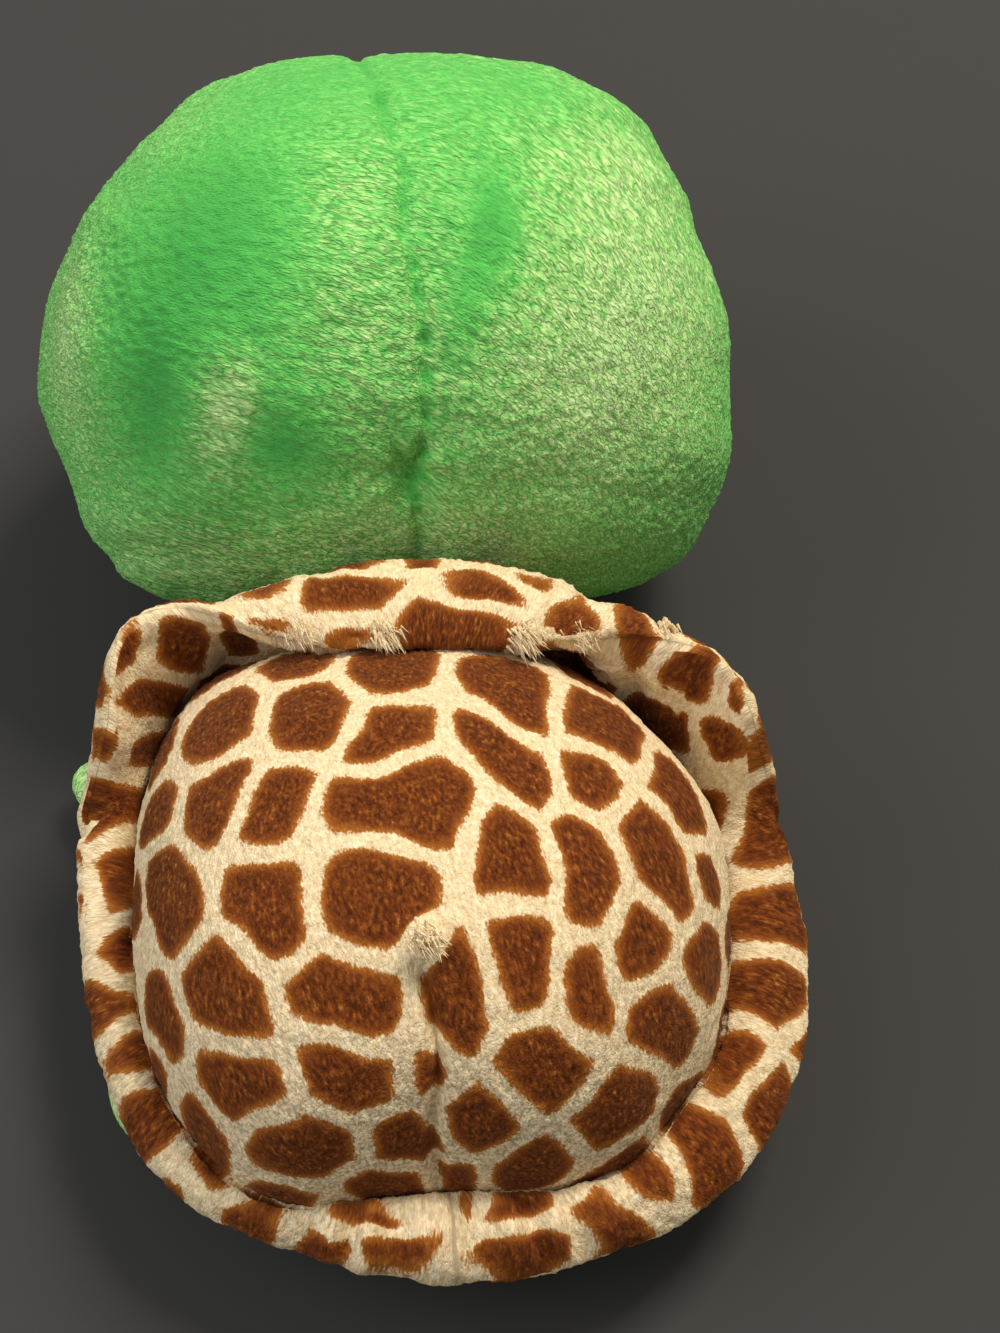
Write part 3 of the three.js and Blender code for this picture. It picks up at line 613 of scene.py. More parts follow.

# %% [markdown]
# ## Nap on the head
# The pile of the head is brushed in broad lanes, and their light and dark is painted into the
# colour as sheen, fading where the cloth turns away from the eye. Each lane is a soft blob on the
# cloth with a place, a size and a strength: below zero the nap is painted dark, above it light.
# Away from the crown the nap follows plain noise.

# %% Lanes and rows of tufts
# Lanes of painted sheen: across, up, half width, half height, strength; in mm from the middle of the back of
# the head.
brushed = [
    (-20, 9, 12, 14, -0.42), (-29, -4, 8, 11, -0.3), (13.5, 10, 2.8, 8, -0.42), (10.5, 0, 2.4, 7, -0.3),
    (31, 3, 11, 20, 0.46), (-18, -14, 3.6, 6.5, 0.46), (-15.5, -10, 2.4, 3.5, 0.15), (-12, -18, 6, 3, -0.25),
    (0, 30, 40, 8, -0.2), (-26, 22, 9, 6, 0.12), (-4, 12, 5, 7, 0.2), (20, -10, 14, 12, 0.2),
    (-4, -4, 6, 10, 0.16), (28, 22, 10, 6, 0.15), (-40, -6, 4, 20, 0.3), (0, -32, 40, 9, 0.36),
    (-27, -15, 4, 8, -0.3), (-9.5, -16, 5, 8, -0.22), (-18, -25, 10, 4, -0.2),
]
nap_wave, nap_wave_lengths = 0.12, (7, 9, 8)
# The rows tilt, bend down on the right and twist a little towards the top.
row_tilt, row_bend, row_twist = 0.3, 0.008, 0.006


def nap_light_and_shade(piece, centre, spots, start):
    """The painted light and shade of the nap at each vertex, from spots that fade where the cloth turns from
    the eye, and slow waves.
    """
    points = points_of(piece) - centre
    across, up = points @ level_right, points @ level_up
    towards = np.clip(-(normals_of(piece) @ sight) * 2.0, 0, 1)
    lean = np.zeros(len(points))
    for x, y, wide, high, strength in spots:
        lean += strength * np.exp(-((across - x) / wide) ** 2 - ((up - y) / high) ** 2)
    x, y, z = (points / nap_wave_lengths).T
    return start + lean * towards + nap_wave * np.sin(x + 1) * np.sin(y) * np.sin(z + 2)


def cloth_axes(angle):
    """Two directions on the cloth: across the nap and along it, turned by an angle."""
    turned_by = math.radians(angle)
    across = math.cos(turned_by) * level_right + math.sin(turned_by) * level_up
    along = -math.sin(turned_by) * level_right + math.cos(turned_by) * level_up
    return np.stack([across, along, sight])


def head_rows(points):
    """Cloth coordinates on the head: the rows of tufts run level and bend down to the right."""
    across, up = points @ level_right, points @ level_up
    bend = row_bend * np.maximum(across, 0) ** 2 - row_twist * across * up
    return np.stack([up + row_tilt * across + bend, 0.96 * across - row_tilt * up, points @ sight], -1)


print(len(brushed), "lanes are brushed into the head")

# %% Brush the head and raise its pile
# The seam groove and its pits get painted shade on the side towards the eye: it is taken off the nap, which
# darkens the green there.
seam_shade, seam_shade_width, pit_shade = 0.3, 0.6, 0.2
head_nap_light = nap_light_and_shade(head_plush, head_centre, brushed, 0.5)
head_local = points_of(head_plush) - head_centre
head_up = head_local @ level_up
off_seam = head_local[:, 0] - smooth_table(head_seam, head_up)[0]
shaded = seam_shade * (0.6 + 0.6 * seam_waves(head_up)) * hill(off_seam, seam_shade_width)
for at_x, at_up, depth, radius in seam_pits:
    shaded += pit_shade * hill(np.hypot(head_local[:, 0] - at_x, head_up - at_up), radius)
shaded *= head_local @ sight < 0
keep_values(head_plush, "nap", head_nap_light - shaded)
keep_values(head_plush, "cloth", head_rows(head_local))
run_tree(head_plush, raise_pile, Tuft_width=0.9, Tuft_length=3.0, Pile_depth=0.55, Lump_width=11.0,
         Lump_depth=0.8, Cloth=green_plush)
flatten_to_floor(head_plush)
hand_over(head_plush, "head", "green_plush", "head_right", "head_left", fill=0.9)

# %% [markdown]
# ## Shell dome
# The dome is a printed cap over the body, gathered to a point on its back by one dart. A lathe
# rule gives the cap: a rounded profile turned about an upright axis. The dart is a narrow
# groove from a little tuft near the top down to the brim.

# %% Dome sizes
dome_radius, dome_height, dome_seam_height, dome_fullness = 36.5, 31.7, 18.3, 0.91
dart_start_share, dart_depth, dart_half_width = 0.33, 1.4, 0.8
dart_slope_depth, dart_slope_width = 0.6, 4.0
dart_aside, dart_wander, dart_wander_rate = 1.2, 0.5, 14.0
# The dart begins and ends over these shares of the dome, and keeps a share of its depth at the seam.
dart_begin, dart_end, dart_depth_left = 0.05, 0.06, 0.25
tuft_share, tuft_height, tuft_half_width = 0.29, 1.5, 1.7
# Stuffing pushes the shell out of round: bearing from the front, bulge at the seam.
shell_bulges = [
    (-180, -1.0), (-171, -0.7), (-163, 0.9), (-155, 3.2), (-145, 3.8), (-133, 3.0), (-120, 1.4),
    (-105, -0.3), (-90, -1.0), (-75, -0.2), (-62, 1.9), (-50, 3.8), (-41, 4.7), (-29, 2.4), (-15, 0.0),
    (15, 0.0), (30, 0.2), (45, 0.4), (58, 0.6), (70, 1.2), (82, 1.7), (95, 1.3), (108, 1.5), (122, 2.9),
    (135, 2.9), (148, 3.6), (158, 2.3), (168, 0.3), (180, -1.0),
]
shell_place = np.array([0, shell_centre_y, 0])
dome_middle = np.array([0.0, shell_centre_y, dome_seam_height])
pile_cloth, lining_every = 1.5, 6
print("the dome rises to", dome_seam_height + dome_height, "mm")


# %% Dome surface
def bulge_at(bearing):
    """How far the stuffing pushes the shell out at a bearing."""
    return smooth_table(wrapped(shell_bulges), np.degrees(bearing))[0]


def dome_surface(bearing, share):
    """Dome points in mm: bearing in radians from the front, share 0 on top and 1 at the seam."""
    rise = np.maximum(1 - share, 0) * math.pi / 2
    radius = dome_radius * np.cos(rise) ** dome_fullness
    radius = radius + bulge_at(bearing) * (radius / dome_radius) ** 2
    height = dome_seam_height + dome_height * np.sin(rise) ** dome_fullness
    x, y = radius * np.sin(bearing), radius * np.cos(bearing)
    behind = np.where(np.cos(bearing) < 0, 1.0, 0.0)
    dart_here = behind * np.clip((share - dart_start_share) / dart_begin, 0, 1)
    dart_here = dart_here * np.clip((1 - share) / dart_end, dart_depth_left, 1)
    off = x + dart_aside
    off_dart = off - dart_wander * np.sin(share * dart_wander_rate)
    groove = dart_here * dart_depth * hill(off_dart, dart_half_width)
    groove += dart_here * dart_slope_depth * hill(off_dart, dart_slope_width)
    from_tuft = np.hypot(off, (share - tuft_share) * dome_radius * 1.4)
    groove -= behind * tuft_height * hill(from_tuft, tuft_half_width)
    inward = np.stack([-x, -y, -(height - dome_seam_height)], -1)
    inward /= np.maximum(np.linalg.norm(inward, axis=-1), 1e-6)[..., None]
    return np.stack([x, y, height], -1) + inward * groove[..., None] + shell_place


print("the shell's seam passes", np.round(dome_surface(np.array(math.pi), np.array(1.0)), 1), "mm")


# %% Dome skin
def lined(outside, wall, shrink_centre):
    """Rings of an open cup with the same rings again inside, so that its cloth has a thickness."""
    inside = outside[::-lining_every] - shrink_centre
    size = np.linalg.norm(inside, axis=-1)[..., None]
    inside = inside * (1 - wall / size) + shrink_centre
    return np.concatenate([outside, pressed(inside, neck_centre, neck_radius + neck_room + wall)])


dome_rings, dome_around = 140, 560
shares = np.linspace(0, 1, dome_rings + 1)[1:]
bearings = np.linspace(-math.pi, math.pi, dome_around, endpoint=False)
share_grid, bearing_grid = np.meshgrid(shares, bearings, indexing="ij")
dome_points = pressed(dome_surface(bearing_grid, share_grid), neck_centre, neck_radius + neck_room)
shell_plush = skin("shell_plush", lined(dome_points, pile_cloth, dome_middle))

# %% [markdown]
# ## Brim
# The brim is a flat padded ring that is sewn to the dome's seam. On the sides and at the back it
# sticks out, and behind the head it stands up and curls back over the dome as a collar. A table
# gives its edge and the guide point of its curve at bearings round the shell, and a smooth curve
# through the table gives every other bearing.

# %% Brim sizes
# Bearing from the front, edge radius, edge height, guide radius, guide height.
brim_table = [
    (-180, 44.6, 14.6, 42.0, 20.0), (-157, 43.2, 14.6, 41.9, 18.9), (-143, 44.2, 14.6, 42.7, 18.9),
    (-130, 44.0, 14.6, 42.4, 19.2), (-115, 42.7, 14.6, 41.0, 20.0), (-100, 41.2, 14.8, 40.6, 19.4),
    (-88, 41.2, 15.0, 40.6, 19.6), (-79, 42.1, 16.2, 41.4, 20.2), (-72, 43.9, 20.0, 42.9, 20.6),
    (-66, 43.4, 26.0, 43.9, 22.0), (-60, 42.6, 34.5, 44.8, 24.0), (-54, 44.6, 40.0, 46.0, 26.5),
    (-46, 45.2, 43.4, 46.4, 32.0), (-40, 41.8, 43.6, 46.0, 38.0), (-32, 32.8, 42.4, 44.5, 44.0),
    (-22, 27.0, 42.4, 42.8, 47.8), (-10, 24.6, 42.8, 42.6, 49.3), (4, 23.6, 43.1, 42.6, 49.8),
    (18, 24.3, 43.1, 42.4, 49.3), (28, 26.0, 42.7, 42.6, 48.2), (38, 30.0, 42.3, 43.5, 46.0),
    (46, 34.6, 41.9, 44.5, 41.0), (54, 40.1, 41.9, 46.0, 33.0), (62, 43.6, 41.0, 46.5, 27.0),
    (69, 44.4, 36.5, 46.5, 23.0), (75, 45.6, 27.0, 45.5, 21.5), (81, 47.2, 19.0, 44.5, 20.5),
    (89, 47.7, 16.0, 43.5, 20.0), (103, 48.3, 15.2, 43.5, 20.0), (118, 49.2, 14.8, 44.4, 20.0),
    (134, 49.4, 14.6, 44.6, 20.0), (145, 48.6, 14.6, 44.4, 20.0), (156, 46.9, 14.6, 43.4, 20.0),
    (168, 45.6, 14.6, 42.5, 20.0), (180, 44.6, 14.6, 42.0, 20.0),
]
brim_root_radius, brim_root_height, brim_half_thick = 36.4, 18.15, 3.0
brim_lip, neck_arch_half_width, neck_arch_share = 0.5, 13.4, 0.44
flat_reach, collar_reach = 44.0, 25.0
# Where the roll of the collar is pinched: bearing, share of its thickness that is lost, half width.
collar_pinches = [(-34, 0.4, 3.5), (-15, 0.15, 3.0), (37, 0.4, 3.5), (50, 0.3, 2.5), (60, 0.25, 2.5)]
# How much fuller the collar is on the face that lies on the dome: bearing, share.
under_fullness = [
    (-180, 0.0), (-76, 0.0), (-60, 0.3), (-40, 0.7), (-20, 0.5), (0, 0.4), (20, 0.7), (35, 1.3),
    (50, 1.3), (62, 0.7), (76, 0.0), (180, 0.0),
]
# The back of the brim is puckered by its seam: depth, and how far round it reaches in degrees.
pucker_depth, pucker_reach = 1.1, 30
# How square the brim's section is when flat and how much more when curled; how it thins outwards.
flat_bluntness, more_when_curled, edge_thinning = 2.0, 1.6, 0.25
collar_gap, wadding_gap = 0.1, 0.8
print("the brim reaches", max(row[1] for row in brim_table), "mm from the shell's middle")


# %% Where the brim may lie
def off_the_dome(points, gap):
    """Points kept a gap outside the dome, as the collar is where it lies on it."""
    x, y, z = np.moveaxis(points - dome_middle, -1, 0)
    flat = np.hypot(x, y)
    reach = dome_radius + gap + bulge_at(np.arctan2(x, y)) * (flat / dome_radius) ** 2
    power = 2 / dome_fullness
    within = (flat / reach) ** power + (np.maximum(z, 0) / (dome_height + gap)) ** power
    grow = np.where((within < 1) & (z > 1), np.maximum(within, 0.2) ** (-dome_fullness / 2), 1)
    return np.stack([x * grow, y * grow, z * grow], -1) + dome_middle


def arch_share(bearing):
    """Where the brim starts: at the dome, but over the neck it leaves an arch open."""
    across = brim_root_radius * np.sin(bearing) / neck_arch_half_width
    ahead = np.cos(bearing) > 0
    return neck_arch_share * np.sqrt(np.maximum(1 - across**2, 0)) * ahead


def cloth_reach(bearing):
    """How far the brim's cloth runs from the dome to the edge, in mm."""
    edge, edge_height, guide, guide_height = smooth_table(wrapped(brim_table), np.degrees(bearing))
    first = np.hypot(guide - brim_root_radius, guide_height - brim_root_height)
    return 0.85 * (first + np.hypot(edge - guide, edge_height - guide_height))


print("at the back the brim's cloth runs", round(float(cloth_reach(np.array(math.pi))), 1), "mm")


# %% Brim surface
def brim_fullness(degrees, share, side, widest, curled):
    """Half the thickness of the brim in mm at a place on one side of it."""
    # The collar is a full, blunt roll, and the flat brim thins towards its edge.
    blunt = flat_bluntness + more_when_curled * curled
    fat = widest * np.maximum(1 - np.abs(2 * share - 1) ** blunt, 0) ** (1 / blunt)
    fat = fat * (1 - edge_thinning * share * (1 - curled))
    for place, loss, half in collar_pinches:
        fat = fat * (1 - loss * hill(degrees - place, half))
    under = smooth_table(under_fullness, degrees)[0] * np.clip(share * 1.3, 0, 1)
    fat = fat * np.where(side > 0, 1 + under, 1)
    return np.maximum(fat, brim_lip * np.clip(6 - 6 * share, 0, 1))


def brim_surface(bearing, share, side, thin=0.0):
    """Brim points in mm: share 0 at the dome and 1 at the edge, side 1 above and -1 below."""
    degrees = np.degrees(bearing)
    edge, edge_height, guide, guide_height = smooth_table(wrapped(brim_table), degrees)
    root = brim_root_radius + bulge_at(bearing)
    rest = 1 - share
    radius = root * rest**2 + 2 * guide * share * rest + edge * share**2
    height = brim_root_height * rest**2 + 2 * guide_height * share * rest + edge_height * share**2
    run = 2 * (guide - root) * rest + 2 * (edge - guide) * share
    climb = 2 * (guide_height - brim_root_height) * rest + 2 * (edge_height - guide_height) * share
    length = np.hypot(run, climb)
    curled = np.clip((flat_reach - edge) / (flat_reach - collar_reach), 0, 1)
    widest = np.minimum(brim_half_thick, 0.4 * np.hypot(edge - root, edge_height - brim_root_height))
    fat = brim_fullness(degrees, share, side, widest, curled) * (1 - thin)
    start = np.clip((share - arch_share(bearing)) / 0.15, 0, 1)
    fat = fat * np.where(arch_share(bearing) > 0, np.sqrt(start * (2 - start)), 1)
    behind = hill(np.abs(degrees) - 180, pucker_reach)
    ripple = np.sin(degrees * 0.7 + 1.5 * np.sin(degrees * 0.23)) * np.sin(math.pi * share)
    fat = fat + behind * pucker_depth * ripple * np.where(side > 0, 1, 0.3)
    seam = (0.25 + 0.6 * curled) * hill(fat, 0.9) * (share > 0.5)
    radius = radius - side * climb / length * fat - run / length * seam
    height = height + side * run / length * fat - climb / length * seam
    points = np.stack([radius * np.sin(bearing), radius * np.cos(bearing), height], -1) + shell_place
    return off_the_dome(points, collar_gap + wadding_gap * thin)


print("the collar's edge stands at", np.round(brim_surface(np.array(0.0), np.array(1.0), 1), 1), "mm")


# %% Brim skin
def brim_grid(count, half_count, inner=0.0):
    """Bearings, shares and sides of a closed loop of brim at each bearing."""
    half_loop = (1 - np.cos(np.linspace(0, math.pi, half_count + 1))) / 2
    loop_share = np.concatenate([half_loop, half_loop[-2:0:-1]])
    loop_side = np.concatenate([np.ones(half_count + 1), -np.ones(half_count - 1)])
    bearings = np.linspace(-math.pi, math.pi, count, endpoint=False)
    bearing_grid, share_grid = np.meshgrid(bearings, loop_share, indexing="ij")
    first = arch_share(bearing_grid) + inner
    share_grid = first + (1 - inner - first) * share_grid
    return bearing_grid, share_grid, np.broadcast_to(loop_side, share_grid.shape)


bearing_grid, share_grid, side_grid = brim_grid(640, 46)
brim_plush = skin("brim_plush", brim_surface(bearing_grid, share_grid, side_grid), joined=True)

# %% [markdown]
# ## Print
# The cloth is printed with a giraffe-like pattern of rounded brown patches. A patch has a place on
# the surface and eight spokes, and a smooth curve through the spokes is its outline. Each vertex
# stores how deep it lies inside the nearest patch, in mm, and the material turns that into a
# furry border. A seeded rule lays more patches where none is listed.

# %% Outline of a patch
def frame_at(surface, bearing, share, *side):
    """The point and the two directions of a surface, at a bearing and a share."""
    step = 1e-3
    here = surface(np.array(bearing, float), np.array(share, float), *side)
    east = surface(np.array(bearing + step), np.array(share, float), *side) - here
    down = surface(np.array(bearing), np.array(share + step), *side) - here
    east /= np.linalg.norm(east)
    down -= east * (down @ east)
    down /= np.linalg.norm(down)
    return here, east, down


def radius_towards(radii, angle):
    """The radius of a patch at an angle, smoothed through its eight spokes."""
    step = 2 * math.pi / len(radii)
    place = (angle % (2 * math.pi)) / step
    i = np.floor(place).astype(int)
    t = place - i
    before, here, after, beyond = (np.take(radii, (i + k) % len(radii)) for k in (-1, 0, 1, 2))
    bend = (after - before) * t + (2 * before - 5 * here + 4 * after - beyond) * t**2
    return here + 0.5 * (bend + (3 * here - before - 3 * after + beyond) * t**3)


print("between spokes of 3 and 4 mm:", radius_towards(np.array([3.0, 4.0] * 4), np.array(math.pi / 8)))


# %% Depth in the nearest patch
cream_gap, far_outside, least_depth = 2.1, -9.0, -4.0
patch_margin, border_wobble = 8, 0.25


def patch_depth(points, normals, spots, growth):
    """How deep each point lies in its patch, in mm. Neighbours keep a cream gap; below zero is cream."""
    depth = np.full(len(points), far_outside)
    second = np.full(len(points), far_outside)
    for here, east, down, radii, _ in spots:
        near = np.linalg.norm(points - here, axis=1) < max(radii) + patch_margin
        off = points[near] - here
        facing = normals[near] @ np.cross(east, down)
        nearest = np.argmin(np.linalg.norm(off, axis=1))
        same_side = facing * np.sign(facing[nearest]) > -0.3
        a, b = off @ east, off @ down
        inside = radius_towards(np.array(radii), np.arctan2(b, a)) + growth - np.hypot(a, b)
        inside = np.where(same_side, inside, far_outside)
        second[near] = np.maximum(second[near], np.minimum(inside, depth[near]))
        depth[near] = np.maximum(depth[near], inside)
    depth = np.minimum(depth * 0.9, (depth - second - cream_gap) / 2)
    x, y, z = points.T
    wobble = border_wobble * np.sin(x / 1.3 + 2 * np.sin(y / 2.1)) * np.sin(z / 1.7 + 1)
    return np.maximum(depth + wobble, least_depth)


print("patches keep", cream_gap, "mm of cream between them")


# %% More patches by rule
patch_sizes, patch_stretch, spoke_shares, patch_gap = (3.2, 5.0), 0.25, (0.85, 1.15), 2.4


def fill_patches(surface, laid, low, high, seed, tries, sides=(None,)):
    """More patches between two shares, at random places that keep clear of those laid."""
    chance = np.random.default_rng(seed)
    spots = list(laid)
    for _ in range(tries):
        bearing = chance.uniform(-math.pi, math.pi)
        share = chance.uniform(low, high)
        side = sides[int(chance.integers(len(sides)))]
        place = (bearing, share) if side is None else (bearing, share, side)
        size = chance.uniform(*patch_sizes)
        turn = chance.uniform(0, math.pi)
        stretch = 1 + patch_stretch * np.cos(2 * (np.arange(8) * math.pi / 4 - turn))
        radii = size * stretch * chance.uniform(*spoke_shares, 8)
        here, east, down = frame_at(surface, *place)
        clear = all(spot[4] != side or np.linalg.norm(here - spot[0]) > size + np.mean(spot[3]) + patch_gap
                    for spot in spots)
        if clear:
            spots.append((here, east, down, radii, side))
    print(len(laid), "patches placed by hand,", len(spots) - len(laid), "by rule")
    return spots


# %% [markdown]
# ## Stray hair
# Where a seam closes, some of the pale pile is caught in it and stands out in tufts. These few
# hairs show against what is behind them, so they are real: each is a thin spike of four faces
# with its foot in the cloth.

# %% Tufts of stray hair
hair_half_width, hair_foot_spread, hair_sink, hair_spread = 0.15, 0.75, 0.3, 0.25
hair_faces = ((0, 1, 2), (0, 3, 1), (1, 3, 2), (2, 3, 0))


def with_tufts(piece, tufts):
    """Joins tufts of long hairs to a skin: base, way out, way it leans, hairs, length in mm."""
    chance = np.random.default_rng(3)
    points, faces = [], []
    for base, out, lean, hairs, length in tufts:
        for _ in range(hairs):
            foot = base + chance.normal(0, hair_foot_spread, 3) - out * hair_sink
            way = out * chance.uniform(0.3, 0.9) + lean * chance.uniform(0.4, 1.1)
            way += chance.normal(0, hair_spread, 3)
            way /= np.linalg.norm(way)
            side = np.cross(way, sight)
            side *= hair_half_width / np.linalg.norm(side)
            first = len(points)
            points += [foot + side, foot - side, foot + np.cross(way, side), foot + way * length]
            faces += [(first + a, first + b, first + c) for a, b, c in hair_faces]
    mesh = bpy.data.meshes.new("stray_hair")
    mesh.from_pydata((np.array(points) * MM).tolist(), [], faces)
    hair = place_in_scene("stray_hair", mesh)
    keep_values(hair, "patch", np.full(len(points), least_depth))
    keep_values(hair, "nap", np.full(len(points), 0.8))
    keep_values(hair, "cloth", np.array(points))
    both = [piece, hair]
    with bpy.context.temp_override(active_object=piece, object=piece, selected_editable_objects=both,
                                   selected_objects=both):
        bpy.ops.object.join()
    print(piece.name, "carries", len(faces) // len(hair_faces), "stray hairs")


# %% Patches on the dome
# Where the cream pile stands open and its roots get painted shade: across, up, half width, half height,
# strength.
open_pile_shade = [(0, -22, 40, 16, -0.45), (-34, 4, 10, 20, -0.25), (30, -6, 10, 18, -0.2)]
# Bearing in degrees, share from the top, then eight spokes in mm: east, and on by eighths of a turn.
dome_patches = [
    (-172.5, 0.78, 3.3, 3.0, 3.5, 5.1, 3.5, 3.4, 3.2, 5.0),
    (173.9, 0.741, 4.5, 4.3, 4.4, 4.2, 4.6, 4.9, 4.8, 4.4),
    (-120.6, 0.985, 1.4, 4.0, 6.5, 6.5, 1.3, 2.9, 7.0, 3.0),
    (-55.4, 0.484, 5.8, 6.2, 6.1, 4.9, 5.0, 4.6, 4.2, 4.5),
    (-42.5, 0.293, 4.4, 5.7, 5.6, 3.9, 4.6, 6.6, 6.1, 4.5),
    (-5.7, 0.366, 4.8, 5.2, 5.0, 5.2, 4.7, 5.2, 6.9, 4.9),
    (36.8, 0.347, 4.9, 5.6, 6.0, 5.8, 7.0, 5.1, 5.5, 8.3),
    (61.1, 0.476, 7.0, 5.6, 6.5, 6.2, 6.0, 6.1, 7.1, 6.8),
    (62.7, 0.169, 8.1, 4.4, 3.5, 3.9, 7.0, 4.3, 2.9, 3.7),
    (82.6, 0.585, 5.4, 5.3, 5.2, 6.4, 6.4, 4.8, 4.6, 4.1),
    (-178.8, 0.605, 1.0, 1.6, 2.4, 2.0, 1.3, 1.2, 2.6, 1.2),
    (-169.6, 0.961, 3.4, 2.3, 3.7, 5.8, 3.5, 2.9, 3.4, 5.4),
    (-160.1, 0.589, 4.6, 3.5, 4.2, 5.4, 4.8, 3.2, 3.9, 5.7),
    (-154.4, 0.418, 6.2, 4.5, 3.9, 5.2, 5.4, 5.0, 3.9, 4.8),
    (-153.5, 0.21, 6.0, 5.6, 6.1, 5.9, 5.9, 6.4, 5.4, 6.1),
    (-153.7, 0.781, 5.6, 5.8, 4.9, 4.5, 5.5, 5.0, 4.3, 4.5),
    (-139.9, 0.687, 5.2, 5.6, 5.4, 3.6, 4.8, 5.4, 4.0, 3.9),
    (-127.5, 0.554, 6.1, 6.0, 4.3, 4.7, 6.6, 4.8, 3.9, 5.1),
    (-119.6, 0.368, 6.1, 5.2, 3.4, 4.9, 6.3, 4.1, 4.3, 5.0),
    (-117.5, 0.035, 4.9, 8.2, 6.9, 4.4, 6.8, 6.5, 7.5, 5.7),
    (-116.9, 0.777, 4.9, 4.7, 3.9, 3.7, 4.8, 3.8, 3.1, 3.8),
    (-97.9, 0.623, 6.2, 9.2, 3.7, 4.6, 6.7, 6.7, 4.6, 4.0),
    (-86.5, 0.284, 4.5, 3.7, 3.3, 5.6, 5.0, 2.6, 3.0, 6.0),
    (-78.0, 0.454, 4.4, 4.4, 4.1, 4.2, 5.1, 3.6, 3.6, 5.4),
    (-74.6, 0.69, 3.7, 4.7, 5.4, 3.0, 3.1, 3.6, 3.9, 3.3),
    (-23.0, 0.137, 5.1, 6.0, 3.9, 3.8, 5.1, 5.3, 3.8, 3.9),
    (82.5, 0.339, 3.7, 3.8, 3.4, 4.2, 4.3, 3.7, 3.2, 4.2),
    (101.9, 0.503, 4.6, 6.9, 5.9, 4.6, 5.9, 6.1, 5.6, 4.2),
    (116.0, 0.721, 4.3, 4.1, 4.9, 5.8, 4.8, 3.0, 3.3, 4.9),
    (117.5, 0.331, 5.9, 5.9, 3.7, 4.3, 4.7, 6.9, 3.1, 3.0),
    (125.7, 0.516, 4.6, 3.5, 3.6, 3.5, 3.9, 4.1, 3.3, 3.2),
    (132.8, 0.694, 4.1, 3.8, 5.7, 5.5, 4.3, 4.6, 4.8, 5.3),
    (132.5, 0.198, 4.7, 5.1, 5.4, 3.5, 4.1, 6.1, 4.2, 3.3),
    (143.5, 0.488, 3.0, 4.9, 4.6, 2.6, 3.1, 4.5, 4.5, 3.0),
    (148.2, 0.758, 5.6, 5.4, 4.3, 5.5, 5.6, 4.5, 4.2, 4.2),
    (154.2, 0.36, 3.4, 5.1, 5.3, 3.8, 3.6, 5.1, 5.1, 3.9),
    (159.3, 0.608, 4.7, 4.8, 4.6, 5.2, 5.3, 4.4, 4.6, 4.9),
    (165.0, 0.884, 3.7, 6.3, 4.7, 4.0, 3.9, 5.3, 4.3, 3.3),
    (175.5, 0.417, 3.2, 3.6, 6.3, 4.0, 3.3, 4.0, 6.4, 3.4),
    (177.8, 0.971, 2.1, 3.0, 4.0, 2.6, 2.2, 3.2, 4.3, 3.2),
    (98.6, 0.698, 2.8, 3.3, 2.7, 2.3, 2.6, 3.5, 4.0, 2.9),
    (118, 0.985, 3.2, 4.0, 5.0, 3.0, 3.4, 3.0, 3.4, 3.0),
]
print(len(dome_patches), "patches are placed on the dome")

# %% Lay the print on the dome
laid = [(*frame_at(dome_surface, math.radians(b), s), radii, None) for b, s, *radii in dome_patches]
dome_spots = fill_patches(dome_surface, laid, 0.05, 1.0, 11, 1500)
dome_print = patch_depth(points_of(shell_plush), normals_of(shell_plush), dome_spots, 1.2)
dart_top = dome_surface(np.array(math.pi + dart_aside / 14), np.array(tuft_share))
# The hair of the tuft hides the print round its foot.
bare = hill(np.linalg.norm(points_of(shell_plush) - dart_top, axis=1), 2.2)
keep_values(shell_plush, "patch", dome_print - 7 * bare)
keep_values(shell_plush, "nap", nap_light_and_shade(shell_plush, dome_middle, open_pile_shade, 0.5))
keep_values(shell_plush, "cloth", points_of(shell_plush) @ cloth_axes(20.0).T)
dart_out = (dart_top - dome_middle) / np.linalg.norm(dart_top - dome_middle)
dart_lean = camera_right * 0.5 - camera_up * 0.6
with_tufts(shell_plush, [(dart_top, dart_out * 0.6, dart_lean, 220, 1.8)])
run_tree(shell_plush, raise_pile, Tuft_width=0.9, Tuft_length=1.9, Pile_depth=0.4, Lump_width=10.0,
         Lump_depth=0.5, Cloth=printed_plush)
hand_over(shell_plush, "torso", "printed_plush", "shell_top", fill=0.9)

# %% Patches on the brim
# Where pale hair sticks out of the collar's seam: bearing, share, hairs, length in mm.
seam_tufts = [
    (-26, 0.95, 110, 1.7), (-6, 0.95, 150, 1.9), (30, 0.95, 220, 2.1), (41, 0.97, 110, 1.6),
    (51.5, 0.9, 90, 1.2),
]
